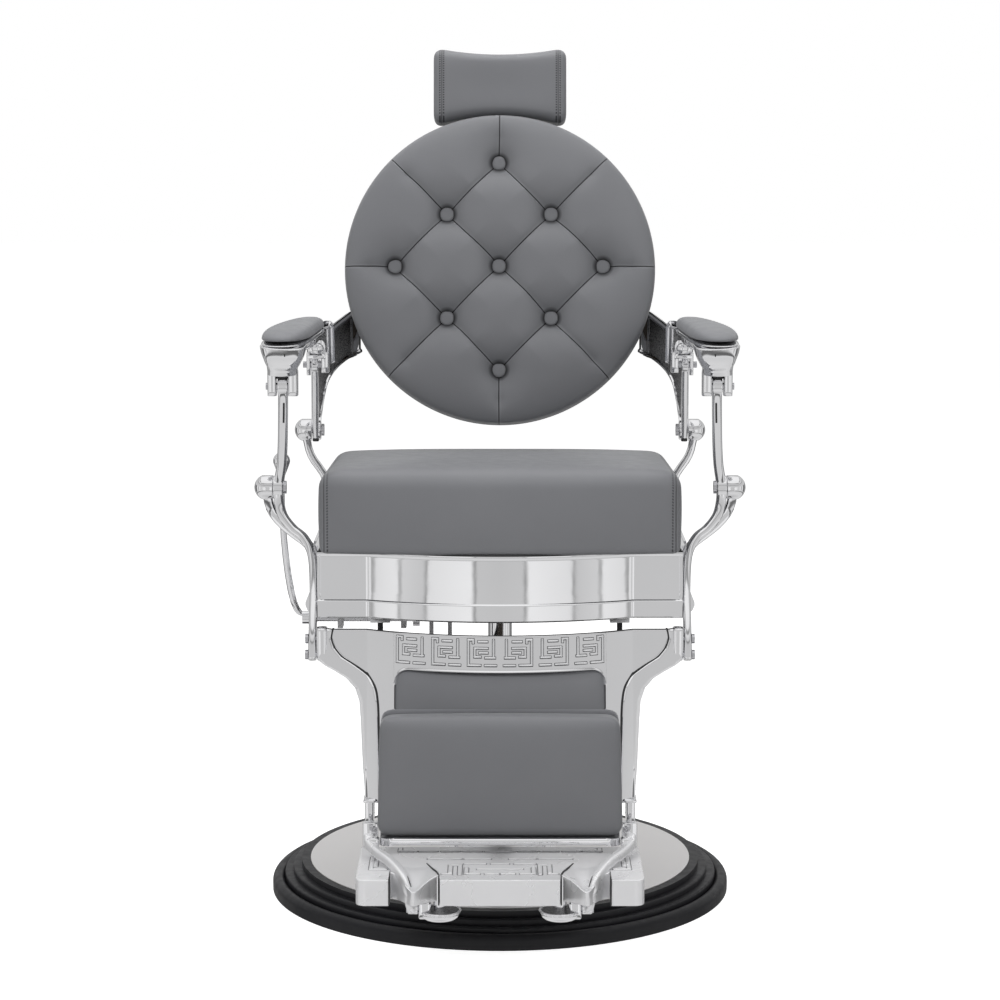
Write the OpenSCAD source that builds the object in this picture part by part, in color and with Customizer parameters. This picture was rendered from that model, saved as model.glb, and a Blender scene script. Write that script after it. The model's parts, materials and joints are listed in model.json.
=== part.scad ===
// Hydraulic barber chair: round tufted back, linked arm rests and leg rest,
// cast fretwork and a round floor base. Millimetres, +Z up, the chair faces -Y.
// Left and right are the sitter's: left is +X.
// The origin is on the floor, on the swivel axis. The seat is at its lowest.

/* [Base] */
// Diameter of the rubber ring round the base
base_d = 700; // [600:10:860]
// Height of the base at the cover disc
base_h = 46; // [40:1:60]
// Outer diameter of the pump cylinder
cylinder_d = 120; // [96:2:150]
// Diameter of the hydraulic ram
ram_d = 36.8; // [30:0.4:46]
// Travel of the hydraulic lift
lift_travel = 160; // [120:5:190]

/* [Seat] */
// Width of the seat cushion
seat_w = 520; // [440:4:624]
// Depth of the seat cushion
seat_d = 405; // [380:5:490]
// Height of the cushion's front edge above the floor
seat_h = 676; // [660:2:820]
// Thickness of the seat cushion at its front edge
seat_t = 116; // [96:2:140]
// Height of the skirt under the cushion
skirt_h = 98; // [82:2:120]
// How far the skirt's front bows out
skirt_bow = 40; // [20:2:60]
// Drop of the cushion's top towards the back
seat_fall = 20; // [0:1:30]

/* [Back] */
// Diameter of the round back cushion
back_d = 486; // [404:2:584]
// Thickness of the back cushion at its crown
back_t = 95; // [78:1:115]
// Lean of the back from upright, in degrees
back_lean = 10; // [8:0.5:12]
// Spacing of the tuft buttons along X and Z
tuft_pitch = 81; // [66:1:90]
// Diameter of a tuft button
button_d = 22; // [18:1:28]

/* [Head rest] */
// Width of the head rest
head_w = 209; // [174:1:252]
// Height of the head rest at its ends
head_h = 124; // [102:1:149]
// Thickness of the head rest
head_t = 64; // [52:1:78]

/* [Arm rests] */
// Length of an arm rest
arm_l = 340; // [300:2:400]
// Width of an arm rest at its front
arm_w = 90; // [75:1:108]
// Height of the arm rest pad
arm_pad_t = 20; // [16:1:24]

/* [Linkage] */
// Height of the arm's front pin above the lever's pivot
front_crank = 152; // [126:1:182]
// Height of the arm's rear pin above the back's pivot
rear_crank = 106; // [88:1:128]
// How far both crank pins lean forward of their pivots
crank_lean = 44; // [36:1:54]
// Radius of the four main pivot pins
pivot_r = 6; // [5:0.25:7]
// Radius of the arm rest pins
arm_pin_r = 5; // [4:0.25:6]

/* [Leg rest] */
// Height of the foot plate's top above the floor
foot_h = 153; // [145:1:190]
// Width of the foot plate
foot_w = 392; // [330:2:470]
// Lean of the leg rest, in degrees
leg_lean = 15.6; // [13:0.4:18.8]
// Width of the opening for the calf pad
calf_w = 300; // [250:2:322]
// Height of the fretwork panel
fret_h = 50; // [42:1:60]
// Height of the shin pad
shin_h = 176; // [146:1:190]
// Thickness of the shin pad
shin_t = 52; // [44:1:62]
// Wall of the foot plate
foot_wall = 5; // [4:0.5:7]

/* [Hidden] */

$fn = 48;
run = 0.05;          // radial clearance of a pin that turns in its bore
seat_gap = 0.3;      // gap between pieces that bear on each other across a joint
loop_play = 2.1;     // extra radius of the bore at the open pin of the arm linkage
lock_play = 2.6;     // extra radius of the bore at the open pin of the lock cylinder

// Heights and depths that the rest hangs on
hx = seat_w/2;
z_board = seat_h - seat_t;                  // top of the seat board
z_skirt = z_board - skirt_h;                // lower edge of the skirt
y_seat = -265;                              // front face of the seat cushion
y_rear = y_seat + seat_d;
y_skirt = y_seat + 18;                      // flat ends of the skirt's front
back_r = back_d/2;
sx = max(hx + 4, back_r + 21);              // station that the linkage stands out from
front_pivot = [sx + 59, y_seat + 100, seat_h - 36];
rear_pivot = [sx + 20, y_rear - 15, seat_h + 14];
front_pin = [sx + 49, front_pivot.y - crank_lean, front_pivot.z + front_crank];
rear_pin = [sx + 20, rear_pivot.y - crank_lean, rear_pivot.z + rear_crank];
back_at = [0, rear_pivot.y + 107, rear_pivot.z - 8.5 + back_r];   // centre of the back board's front

// ---------------------------------------------------------------- helpers

function unit(v) = v/norm(v);
function xyz(p) = [p[0], p[1], p[2]];
// Signed power that turns a circle into a superellipse
function bulge(v, e) = sign(v)*pow(abs(v), e);
// Smooth curve through control points, n steps between two of them
function spline_at(a, b, c, d, t) =
    (2*b + (c - a)*t + (2*a - 5*b + 4*c - d)*t*t + (3*b - a - 3*c + d)*t*t*t)/2;
function spline(c, n) = let (m = len(c)) [
    for (i = [0:m - 2], k = [0:n - 1])
        spline_at(c[max(i - 1, 0)], c[i], c[i + 1], c[min(i + 2, m - 1)], k/n),
    c[m - 1]];

// Closed skin over a stack of rings that have the same number of points each
module loft(rings) {
    n = len(rings[0]);
    m = len(rings);
    mid = function (ring) [for (k = [0:2]) ([for (p = ring) 1]*[for (p = ring) p[k]])/n];
    skin = [for (i = [0:m - 2], j = [0:n - 1])
        let (a = i*n + j, b = i*n + (j + 1)%n, c = (i + 1)*n + (j + 1)%n, d = (i + 1)*n + j)
            each [[a, c, b], [a, d, c]]];
    low = [for (j = [0:n - 1]) [m*n, j, (j + 1)%n]];
    high = [for (j = [0:n - 1]) [m*n + 1, (m - 1)*n + (j + 1)%n, (m - 1)*n + j]];
    points = concat([for (ring = rings) each ring], [mid(rings[0]), mid(rings[m - 1])]);
    polyhedron(points = points, faces = concat(skin, low, high));
}

// Bar along a spline of [x, y, z, half thickness, half depth]; the depth lies along side
module bar(course, n = 2, sides = 12, side = [0, 1, 0], e = 0.6) {
    q = spline(course, n);
    m = len(q);
    loft([for (i = [0:m - 1])
        let (t = unit(xyz(q[min(i + 1, m - 1)]) - xyz(q[max(i - 1, 0)])),
             v = unit(side - t*(side*t)), u = cross(v, t))
            [for (j = [0:sides - 1])
                xyz(q[i]) + u*q[i][3]*bulge(cos(360*j/sides), e) + v*q[i][4]*bulge(sin(360*j/sides), e)]]);
}

// Outline of a pad: half width a, half depth b, squareness e, sides drawn in by kx and ky
function outline(a, b, e, kx, ky, n, f = 1) = [for (j = [0:n - 1])
    let (c = bulge(cos(360*j/n), e), s = bulge(sin(360*j/n), e))
        [f*a*c*(1 - kx*(1 - s*s)), f*b*s*(1 - ky*(1 - c*c))]];

// Pad on the XY plane; profile is a list of [share of the outline, height]
module pad(a, b, e, profile, kx = 0, ky = 0, n = 40) {
    loft([for (p = profile) [for (q = outline(a, b, e, kx, ky, n, p[0])) [q.x, q.y, p[1]]]]);
}

// Round bar or hole along X
module rod_x(x0, x1, r, y, z) {
    translate([x0, y, z]) rotate([0, 90, 0]) cylinder(h = x1 - x0, r = r);
}

// Rounded slot in a plane, from one centre to the other
module slot2d(x0, y0, x1, y1, r) {
    translate([min(x0, x1), min(y0, y1)] - (x0 == x1 ? [r, 0] : [0, r]))
        square([abs(x1 - x0), abs(y1 - y0)] + (x0 == x1 ? [2*r, 0] : [0, 2*r]));
    translate([x0, y0]) circle(r, $fn = 16);
    translate([x1, y1]) circle(r, $fn = 16);
}

// Ribbon of thickness t along a list of points in a plane
function ribbon(c, t, n = 4) = let (q = spline(c, n), m = len(q),
    normal = function (i) let (d = q[min(i + 1, m - 1)] - q[max(i - 1, 0)]) [d.y, -d.x]/norm(d))
    concat([for (i = [0:m - 1]) q[i] + normal(i)*t/2], [for (i = [m - 1:-1:0]) q[i] - normal(i)*t/2]);

module on_back() translate(back_at) rotate([-back_lean, 0, 0]) children();
module both_sides() {
    children();
    mirror([1, 0, 0]) children();
}

// ---------------------------------------------------------------- base

ring_r = base_d/2;
disc_r = ring_r - 58;
cyl_r = cylinder_d/2;
ram_r = ram_d/2;
bore_r = cyl_r - 10;
disc_t = 2;
cap_z = z_skirt - 132;       // underside of the cylinder's cap
cap_h = 15;
piston_h = cap_z - lift_travel - 130;
ram_top = z_skirt + 18;

module base_plate() color("dimgray") difference() {
    union() {
        cylinder(h = 14, r = disc_r - 8);
        cylinder(h = base_h - disc_t, r = cyl_r + 28);
        difference() {
            cylinder(h = base_h - disc_t, r = disc_r - 8);
            translate([0, 0, -1]) cylinder(h = base_h + 2, r = disc_r - 22);
        }
        for (k = [0:7]) rotate([0, 0, 45*k])
            translate([cyl_r + 20, -5, 5]) cube([disc_r - 22 - cyl_r - 14, 10, base_h - disc_t - 9]);
    }
    translate([0, 0, 22]) cylinder(h = base_h, r = cyl_r);
}

// Stepped profile: ridges that fall from the disc's edge to the floor
module base_ring() color("black") rotate_extrude($fn = 180) {
    step_w = 13;
    step_h = (base_h - 20)/3;
    difference() {
        union() {
            translate([disc_r - 8, 0]) square([58, 16]);
            translate([disc_r - 8, 0]) square([8 + step_w, base_h - 1]);
            for (k = [0:2]) {
                translate([disc_r, 0]) square([step_w*(k + 1) - 3, base_h - 1 - step_h*k]);
                translate([disc_r + step_w*(k + 1) - 3, base_h - 4 - step_h*k]) circle(3);
                translate([disc_r, 0]) square([step_w*(k + 1), base_h - 4 - step_h*k]);
            }
            translate([ring_r - 10, 12]) circle(10);
            translate([disc_r, 0]) square([ring_r - disc_r, 12]);
        }
        translate([disc_r - 9, base_h - disc_t]) square([9, 10]);
        translate([disc_r - 9, -1]) square([1.3, base_h + 2]);
    }
}

module base_disc() color("silver") translate([0, 0, base_h - disc_t]) difference() {
    cylinder(h = disc_t, r = disc_r - 0.4, $fn = 180);
    translate([0, 0, -1]) cylinder(h = disc_t + 2, r = cyl_r + 0.3);
}

module column_collar() color("gainsboro") rotate_extrude($fn = 96) difference() {
    union() {
        translate([cyl_r + 0.3, base_h]) square([26, 8]);
        translate([cyl_r + 0.3, base_h]) square([8, 22]);
        translate([cyl_r + 14, base_h + 8]) circle(6);
    }
    translate([cyl_r - 20, base_h - 20]) square([60, 20]);
}

module pump_cylinder() color("gainsboro") {
    difference() {
        translate([0, 0, 22]) cylinder(h = cap_z - 22, r = cyl_r, $fn = 96);
        translate([0, 0, 40]) cylinder(h = cap_z, r = bore_r, $fn = 96);
    }
    // lug that carries the pedal
    difference() {
        translate([-17, cyl_r - 6, base_h + 24]) cube([34, 41, 44]);
        translate([-9.3, cyl_r + 6, base_h + 20]) cube([18.6, 40, 52]);
        rod_x(-20, 20, pivot_r, cyl_r + 22, base_h + 50);
    }
}

module cylinder_cap() color("silver") difference() {
    union() {
        translate([0, 0, cap_z]) cylinder(h = cap_h, r = cyl_r + 2, $fn = 96);
        translate([0, 0, cap_z + cap_h]) cylinder(h = 8, r = ram_r + 9);
    }
    translate([0, 0, cap_z - 1]) cylinder(h = 40, r = ram_r + run);
}

pedal_y = cyl_r + 22;
pedal_z = base_h + 50;
pedal_l = base_d/2 - 52 - pedal_y - 30;
module on_pedal() translate([0, pedal_y, pedal_z]) rotate([8, 0, 0]) children();

module pump_pedal() color("silver") difference() {
    union() {
        rod_x(-8.7, 8.7, 15, pedal_y, pedal_z);
        on_pedal() {
            translate([-8, 0, -8]) cube([16, pedal_l, 16]);
            translate([-27, pedal_l - 36, 7.9]) cube([54, 66, 8]);
        }
    }
    rod_x(-20, 20, pivot_r + run, pedal_y, pedal_z);
}

module pedal_pad() color("black") on_pedal() translate([0, pedal_l - 36, 15.9]) difference() {
    translate([-30, -3, 0]) cube([60, 72, 9]);
    for (k = [0:4]) translate([-31, 6 + 13*k, 6]) cube([62, 5, 4]);
}

module pedal_pin() color("silver") rod_x(-20, 20, pivot_r, pedal_y, pedal_z);

module ram() color("gainsboro") {
    translate([0, 0, 60]) cylinder(h = ram_top - 60, r = ram_r);
    translate([0, 0, 60]) cylinder(h = piston_h, r = bore_r - run, $fn = 96);
}

module swivel_socket() color("dimgray") difference() {
    union() {
        translate([0, 0, z_skirt - 36]) cylinder(h = 62, r1 = 30, r2 = 36);
        translate([0, 0, z_skirt + 26]) cylinder(h = 12, r = 68);
    }
    translate([0, 0, z_skirt - 40]) cylinder(h = ram_top + 0.3 - z_skirt + 40, r = ram_r + run);
}

// ---------------------------------------------------------------- seat

rail_z = z_board - 55;       // underside of the frame's tubes
rail_h = 38;
skirt_wall = 5.5;
frame_x = hx + 2 - skirt_wall;       // reach of the frame's cross tubes
lever_at = [0, -20, z_skirt - 42];          // axis of the hand lever
lock_base = [-90, -30, z_skirt - 102];      // fixed pivot of the lock cylinder
stop_x = 172;
stop_y = y_skirt + 7;

module seat_frame() color("#303236") difference() {
    union() {
        // perimeter and cross tubes
        for (y = [y_seat + 32, y_rear - 38])
            translate([-frame_x, y, rail_z]) cube([2*frame_x, 25, rail_h]);
        for (x = [-hx + 14, -70, 45, hx - 39])
            translate([x, y_seat + 32, rail_z]) cube([25, seat_d - 45, rail_h]);
        // swivel plate
        translate([-92, -92, z_skirt + 38]) cube([184, 184, rail_z - z_skirt - 37]);
        // bearing plates of the hand lever's shaft
        for (x = [-hx + 14, -150])
            translate([x, lever_at.y - 14, lever_at.z - 14]) cube([8, 28, rail_z - lever_at.z + 15]);
        translate([-hx + 14, lever_at.y - 14, rail_z]) cube([hx - 14 - 45, 28, 8]);
        // plates of the lock cylinder's pivot
        for (x = [-17, 11])
            translate([lock_base.x + x, lock_base.y - 7.5, lock_base.z - 14])
                cube([6, 21.5, z_skirt + 40 - lock_base.z + 14]);
        // tabs of the leg rest's stops
        both_sides() {
            translate([stop_x - 14, stop_y - 7, z_skirt - 7]) cube([28, 40, 6]);
            translate([stop_x - 14, stop_y + 17, z_skirt - 7]) cube([28, 16, rail_z - z_skirt + 8]);
        }
    }
    rod_x(-hx, -140, pivot_r + run, lever_at.y, lever_at.z);
    rod_x(lock_base.x - 30, lock_base.x + 30, 5, lock_base.y, lock_base.z);
    both_sides() translate([stop_x, stop_y, z_skirt - 20]) cylinder(h = 30, r = 4);
}

// Plan of the skirt, grown outwards by g: straight sides and a bowed front between flat ends
bow_x = 190;
bow_r = (bow_x*bow_x + skirt_bow*skirt_bow)/(2*skirt_bow);
module skirt_plan(g) {
    translate([-hx - 2 - g, y_skirt - g]) square([seat_w + 4 + 2*g, y_rear - y_skirt + 2*g]);
    intersection() {
        translate([0, y_skirt - skirt_bow + bow_r]) circle(bow_r + g, $fn = 360);
        translate([-bow_x, y_skirt - skirt_bow - 10]) square([2*bow_x, skirt_bow + 20]);
    }
}

module seat_skirt() color("gainsboro") difference() {
    ledge_z = z_skirt + 30;
    union() {
        translate([0, 0, z_skirt]) linear_extrude(ledge_z - z_skirt) skirt_plan(-skirt_wall/2);
        translate([0, 0, ledge_z]) linear_extrude(z_board - ledge_z - 0.5) skirt_plan(0);
        translate([0, 0, z_skirt]) linear_extrude(4) skirt_plan(0);
    }
    translate([0, 0, z_skirt - 1]) linear_extrude(skirt_h + 2) skirt_plan(-skirt_wall);
    // open at the back, where the cushion's board meets the rear tube
    translate([-hx + 20, y_rear - 20, z_skirt - 1]) cube([seat_w - 40, 60, skirt_h + 2]);
}

// One side casting: flared panel with a front and a rear branch that end in round heads
ball_r = 18.3;
front_face = sx + 66;        // flat face of the front ball
rear_face = sx + 29;         // flat face of the rear ball
// Short round head whose outer end is domed
module domed_head(face, at, r) intersection() {
    rod_x(face, face + 2*r, r - 0.7, at.y, at.z);
    translate([face + 0.45*r, at.y, at.z]) sphere(r + 0.8);
}
module side_frame() color("gainsboro") difference() {
    panel_x = hx + 2;
    union() {
        translate([0, y_rear - 4, 0]) rotate([90, 0, 0]) linear_extrude(y_rear - 4 - front_pivot.y + 12)
            polygon([[panel_x, z_board - 4], [panel_x, z_skirt - 9], [panel_x + 9, z_skirt - 10],
                [panel_x + 19, z_skirt - 2], [panel_x + 22, z_skirt + 5], [panel_x + 22, z_skirt + 10],
                [panel_x + 18, z_skirt + 19], [panel_x + 13, z_skirt + 32], [panel_x + 10.5, z_skirt + 50],
                [panel_x + 10.5, z_board - 8], [panel_x + 7, z_board - 4]]);
        // raised border that ties the branches' feet together
        translate([panel_x, front_pivot.y + 40, z_board - 20]) cube([12.5, y_rear - front_pivot.y - 90, 14]);
        branch_y = front_pivot.y + 7;
        bar([[panel_x + 7, branch_y, z_board - 62, 6.5, 10],
             [panel_x + 8, branch_y, z_board - 30, 6.5, 10],
             [panel_x + 16, branch_y, z_board - 8, 6.5, 9.5],
             [front_face - 34, branch_y, z_board + 7, 6.5, 9.5],
             [front_face - 14, branch_y, z_board + 23, 6.5, 9.5],
             [front_face + 1, branch_y, z_board + 41, 6.8, 9.5],
             [front_face + 7.5, branch_y - 4, z_board + 60, 6.8, 9.5],
             [front_face + 9, front_pivot.y, front_pivot.z, 7, 9]]);
        domed_head(front_face, front_pivot, ball_r);
        bar([[panel_x + 6.5, rear_pivot.y, z_board - 50, 6, 10],
             [panel_x + 6.5, rear_pivot.y, z_board, 6, 10],
             [panel_x + 7.5, rear_pivot.y, z_board + 40, 6, 10],
             [panel_x + 14, rear_pivot.y, z_board + 62, 6, 9.5],
             [rear_face - 3, rear_pivot.y, z_board + 82, 6, 9],
             [rear_face + 5, rear_pivot.y, z_board + 100, 6, 8.5],
             [rear_face + 10, rear_pivot.y, rear_pivot.z, 6.5, 8.5]]);
        domed_head(rear_face, rear_pivot, ball_r - 0.5);
    }
    // flat inner faces of the heads and the pins' sockets
    translate([front_face - 30, front_pivot.y - 25, front_pivot.z - 19]) cube([30, 50, 50]);
    translate([rear_face - 30, rear_pivot.y - 25, rear_pivot.z - 18.5]) cube([30, 50, 50]);
    rod_x(front_face - 1, front_face + 18, pivot_r + 0.05, front_pivot.y, front_pivot.z);
    rod_x(rear_face - 1, rear_face + 18, pivot_r + 0.05, rear_pivot.y, rear_pivot.z);
}
module side_frame_left() side_frame();
module side_frame_right() mirror([1, 0, 0]) side_frame();

module headed_pin(x0, x1, at, r) {
    rod_x(x0, x1, r, at.y, at.z);
    rod_x(x0 - 4, x0, r + 3.5, at.y, at.z);
}
module front_pivot_pins() color("silver") both_sides()
    headed_pin(front_face - 15.3, front_face + 17.5, front_pivot, pivot_r);
module rear_pivot_pins() color("silver") both_sides()
    headed_pin(rear_face - 15.3, rear_face + 17.5, rear_pivot, pivot_r);

module stop_bolts() color("#151515") both_sides() {
    translate([stop_x, stop_y, z_skirt - 36]) cylinder(h = 37, r = 4);
    translate([stop_x, stop_y, z_skirt - 1]) cylinder(h = 6, r = 6.5, $fn = 6);
    // rubber buffer that meets the back of the leg rest
    translate([stop_x, stop_y + 4, z_skirt - 30]) rotate([90, 0, 0]) cylinder(h = stop_y + 4 - leg_y - 4.8, r = 8.5);
}

module seat_board() color("burlywood") translate([0, 0, z_board - 17]) linear_extrude(16.5)
    intersection() {
        skirt_plan(-6);
        translate([-hx, y_seat]) square([seat_w, seat_d - 4]);
    }

// Soft block with rounded edges; its top falls towards the back
module seat_cushion() color("gray") {
    n = 44;
    profile = [[0.965, 0], [0.995, 0.08], [1, 0.45], [0.998, 0.83], [0.985, 0.94], [0.955, 0.99],
        [0.86, 1.01], [0.6, 1.02], [0.3, 1.025]];
    translate([0, (y_seat + y_rear)/2, z_board])
        loft([for (p = profile) [for (q = outline(hx, seat_d/2, 0.2, 0.012, 0.02, n, p[0]))
            // the foot of the front follows the skirt's bow
            let (bow = skirt_bow/2*max(0, -2*q.y/seat_d)*(1 - pow(q.x/hx, 2))*max(0, 1 - p[1]))
                [q.x, q.y - bow, p[1]*(seat_t - seat_fall*(q.y/seat_d + 0.5))]]]);
}

// ---------------------------------------------------------------- hand lever and lock

lever_x = -(hx + 69);
module hand_lever() color("gainsboro") difference() {
    union() {
        rod_x(-(hx + 40), -(hx + 26), 10, lever_at.y, lever_at.z);
        bar([[-(hx + 33), lever_at.y, lever_at.z, 5, 5], [-(hx + 43), lever_at.y, lever_at.z + 6, 5, 5.2],
             [-(hx + 53), lever_at.y, lever_at.z + 24, 5.2, 5.4],
             [-(hx + 61), lever_at.y, lever_at.z + 66, 5.2, 5.4],
             [-(hx + 67), lever_at.y, lever_at.z + 124, 4.8, 5],
             [lever_x, lever_at.y, lever_at.z + 180, 4.2, 4.4],
             [lever_x, lever_at.y, lever_at.z + 228, 3.6, 3.6]], sides = 12, e = 1);
    }
    rod_x(-(hx + 50), -(hx + 20), pivot_r, lever_at.y, lever_at.z);
}

// Drop-shaped knob with its point down
module lever_knob() color("silver") translate([lever_x, lever_at.y, lever_at.z + 216]) difference() {
    rotate_extrude() {
        difference() {
            translate([0, 24]) circle(12.8);
            translate([-20, 0]) square([20, 50]);
        }
        polygon([[0, 0], [4.5, 0], [11.6, 18.2], [0, 24]]);
    }
    translate([0, 0, -1]) cylinder(h = 13.3, r = 3.7, $fn = 24);
}

module lever_shaft() color("dimgray") {
    rod_x(-(hx + 40), -120, pivot_r, lever_at.y, lever_at.z);
    rod_x(-132, -122, 13, lever_at.y, lever_at.z);
}

lock_far = [-90, y_skirt - 5, z_skirt - 90];       // pivot on the leg rest
lock_len = norm(lock_far - lock_base);
lock_tilt = atan2(lock_far.z - lock_base.z, lock_base.y - lock_far.y);
module along_lock() translate(lock_base) rotate([90 - lock_tilt, 0, 0]) children();
module lock_cylinder() color("#202124") difference() {
    union() {
        along_lock() translate([0, 0, 10]) cylinder(h = 174, r = 13);
        rod_x(lock_base.x - 10.6, lock_base.x + 10.6, 12, lock_base.y, lock_base.z);
    }
    along_lock() translate([0, 0, 16]) cylinder(h = 160, r = 9);
    along_lock() translate([0, 0, 16]) cylinder(h = 180, r = 5 + run);
    rod_x(lock_base.x - 20, lock_base.x + 20, 5 + run, lock_base.y, lock_base.z);
}
module lock_rod() color("gainsboro") difference() {
    union() {
        along_lock() translate([0, 0, 20]) cylinder(h = lock_len - 20, r = 5);
        along_lock() translate([0, 0, 20]) cylinder(h = 8, r = 9 - run);
        rod_x(lock_far.x - 7, lock_far.x + 7, 12, lock_far.y, lock_far.z);
    }
    rod_x(lock_far.x - 20, lock_far.x + 20, 5 + lock_play, lock_far.y, lock_far.z);
}
module lock_pins() color("silver") rod_x(lock_base.x - 20, lock_base.x + 20, 5, lock_base.y, lock_base.z);

// ---------------------------------------------------------------- back

board_t = 15;
cover_t = 8;
button_at = [for (i = [-2:2], j = [-2:2]) if (abs(i) + abs(j) == 2 || (i == 0 && j == 0))
    if (abs(i) != 1 || abs(j) == 1) [i, j]*tuft_pitch];
// Distance to the nearest sewn line: diamonds between the buttons, then straight to the rim
function seam_gap(x, y) = let (ax = abs(x), ay = abs(y), out = 2*tuft_pitch) min(
    abs(ax - ay)/sqrt(2),
    ax + ay < out + 12 ? abs(ax + ay - out)/sqrt(2) : 1000,
    ay > out ? ax : 1000,
    ax > out ? ay : 1000);
function drawn_in(x, y) = let (b = min([for (c = button_at) norm([x, y] - c)]))
    15*exp(-pow(b/19, 2)) + 5*exp(-pow(seam_gap(x, y)/8, 2));
function crown(f) = 68 + (back_t - 68)*pow(max(0, 1 - pow(f/0.97, 2)), 0.6);

module back_cushion() color("gray") on_back() rotate([90, 0, 0]) {
    n = 56;
    side = [[0.93, 0.3], [0.985, 12], [1, 34], [0.995, 52], [0.975, 64]];
    front = [for (f = [0.935, 0.87, 0.8, 0.73, 0.66, 0.585, 0.51, 0.43, 0.35, 0.27, 0.19, 0.1]) f];
    difference() {
        loft(concat(
            [for (p = side) [for (j = [0:n - 1]) [p[0]*back_r*cos(360*j/n), p[0]*back_r*sin(360*j/n), p[1]]]],
            [for (f = front) [for (j = [0:n - 1]) let (x = f*back_r*cos(360*j/n), y = f*back_r*sin(360*j/n))
                [x, y, crown(f) - drawn_in(x, y)]]]));
        // seats of the buttons
        for (c = button_at) translate([c.x, c.y, crown(norm(c)/back_r) - 17]) cylinder(h = 40, r = button_d/2 + 0.3, $fn = 24);
    }
}

module tuft_buttons() color("gray") on_back() rotate([90, 0, 0])
    for (c = button_at) translate([c.x, c.y, crown(norm(c)/back_r) - 16.7]) intersection() {
        cylinder(h = 12, r = button_d/2, $fn = 24);
        translate([0, 0, -button_d + 8]) sphere(button_d, $fn = 32);
    }

module back_board() color("burlywood") on_back() rotate([-90, 0, 0])
    cylinder(h = board_t, r = back_r*0.93, $fn = 120);

module back_cover() color("gray") on_back() translate([0, board_t, 0]) rotate([-90, 0, 0]) {
    cylinder(h = cover_t - 3, r = back_r*0.95, $fn = 120);
    cylinder(h = cover_t, r = back_r*0.95 - 3, $fn = 120);
}

// Cast bracket: leg on the pivot, blade beside the cushion, foot behind the board
wing_x = back_r - 7;
module back_bracket() color("#55585c") {
    leg_x0 = rear_pivot.x - 5.5;
    blade_low = rear_pivot.z + 14;
    foot_y = board_t + cover_t;
    difference() {
        union() {
            rod_x(leg_x0, leg_x0 + 11, 16, rear_pivot.y, rear_pivot.z);
            rod_x(leg_x0, leg_x0 + 11, 13, rear_pin.y, rear_pin.z);
            translate([leg_x0, 0, 0]) rotate([90, 0, 90]) linear_extrude(11)
                polygon([[rear_pivot.y - 13, rear_pivot.z + 2], [rear_pin.y - 12, rear_pin.z - 4],
                    [rear_pin.y + 12, rear_pin.z + 4], [rear_pivot.y + 4, rear_pivot.z + 62],
                    [rear_pivot.y + 15, rear_pivot.z + 5]]);
            // blade: curved in plan, cut to its outline seen from the front
            intersection() {
                translate([0, 0, blade_low - 20]) linear_extrude(240)
                    polygon(ribbon([[leg_x0 + 3, rear_pivot.y - 22], [leg_x0 - 12, rear_pivot.y - 2],
                        [wing_x + 17, rear_pivot.y + 24], [wing_x + 7, rear_pivot.y + 54],
                        [wing_x + 2, rear_pivot.y + 88], [wing_x - 4, rear_pivot.y + 122]], 8));
                translate([0, rear_pivot.y + 160, 0]) rotate([90, 0, 0]) linear_extrude(200) difference() {
                    polygon([[leg_x0 + 3, blade_low], [leg_x0 + 3, rear_pin.z - 36],
                        [sx - 3, rear_pin.z - 17], [sx - 4, rear_pin.z + 52],
                        [wing_x - 6, rear_pin.z + 74], [wing_x - 60, rear_pin.z + 92],
                        [wing_x - 60, blade_low - 40]]);
                    translate([wing_x - 40, rear_pivot.z + 23]) circle(r = 91, $fn = 96);
                }
            }
            // foot on the back's cover
            on_back() translate([wing_x - 84, foot_y, -150]) cube([86, 8, 84]);
        }
        rod_x(leg_x0 - 20, leg_x0 + 30, pivot_r + run, rear_pivot.y, rear_pivot.z);
        rod_x(leg_x0 - 20, leg_x0 + 30, arm_pin_r, rear_pin.y, rear_pin.z);
        // rounded inner end of the foot
        on_back() translate([wing_x - 84, foot_y - 1, -108]) rotate([-90, 0, 0]) difference() {
            translate([-30, -50, 0]) cube([60, 100, 10]);
            translate([42, 0, -1]) cylinder(h = 12, r = 42, $fn = 60);
            translate([42, -50, -1]) cube([60, 100, 12]);
        }
    }
}
module back_bracket_left() back_bracket();
module back_bracket_right() mirror([1, 0, 0]) back_bracket();

// ---------------------------------------------------------------- head rest

post_y = board_t + cover_t + 16;             // centre of the post, behind the board's face
post_w = 40;
post_t = 8;
head_gap = 3;
under_r = back_r + 106;                       // radius of its hollow underside
// Height of its underside up the back, at a station across it
function head_low(x) = back_r + head_gap - under_r + sqrt(under_r*under_r - x*x);
head_z = head_low(head_w/2) + head_h/2;       // its centre up the back
head_at = [0, post_y, head_z];
knob_z = back_r - 78;

module headrest_socket() color("dimgray") on_back() difference() {
    translate([-32, board_t + cover_t, back_r - 110]) cube([64, 30, 64]);
    translate([-post_w/2 - 0.3, post_y - post_t/2 - 0.3, back_r - 112]) cube([post_w + 0.6, post_t + 0.6, 70]);
    translate([0, post_y, knob_z]) rotate([-90, 0, 0]) cylinder(h = 40, r = 5 + run);
}
module headrest_knob() color("#202124") on_back() translate([0, 0, knob_z]) rotate([-90, 0, 0]) {
    translate([0, 0, post_y + post_t/2 + 0.6]) cylinder(h = 26, r = 5);
    translate([0, 0, board_t + cover_t + 32]) difference() {
        cylinder(h = 16, r = 20);
        for (k = [0:5]) rotate([0, 0, 60*k]) translate([24, 0, -1]) cylinder(h = 18, r = 7, $fn = 24);
    }
}
module headrest_post() color("silver") on_back() difference() {
    translate([-post_w/2, post_y - post_t/2, back_r - 175]) cube([post_w, post_t, head_z - back_r + 161]);
    for (k = [0:5]) translate([-8, post_y + post_t/2 - 1.5, back_r - 165 + 16*k]) cube([16, 4, 8]);
}
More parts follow.
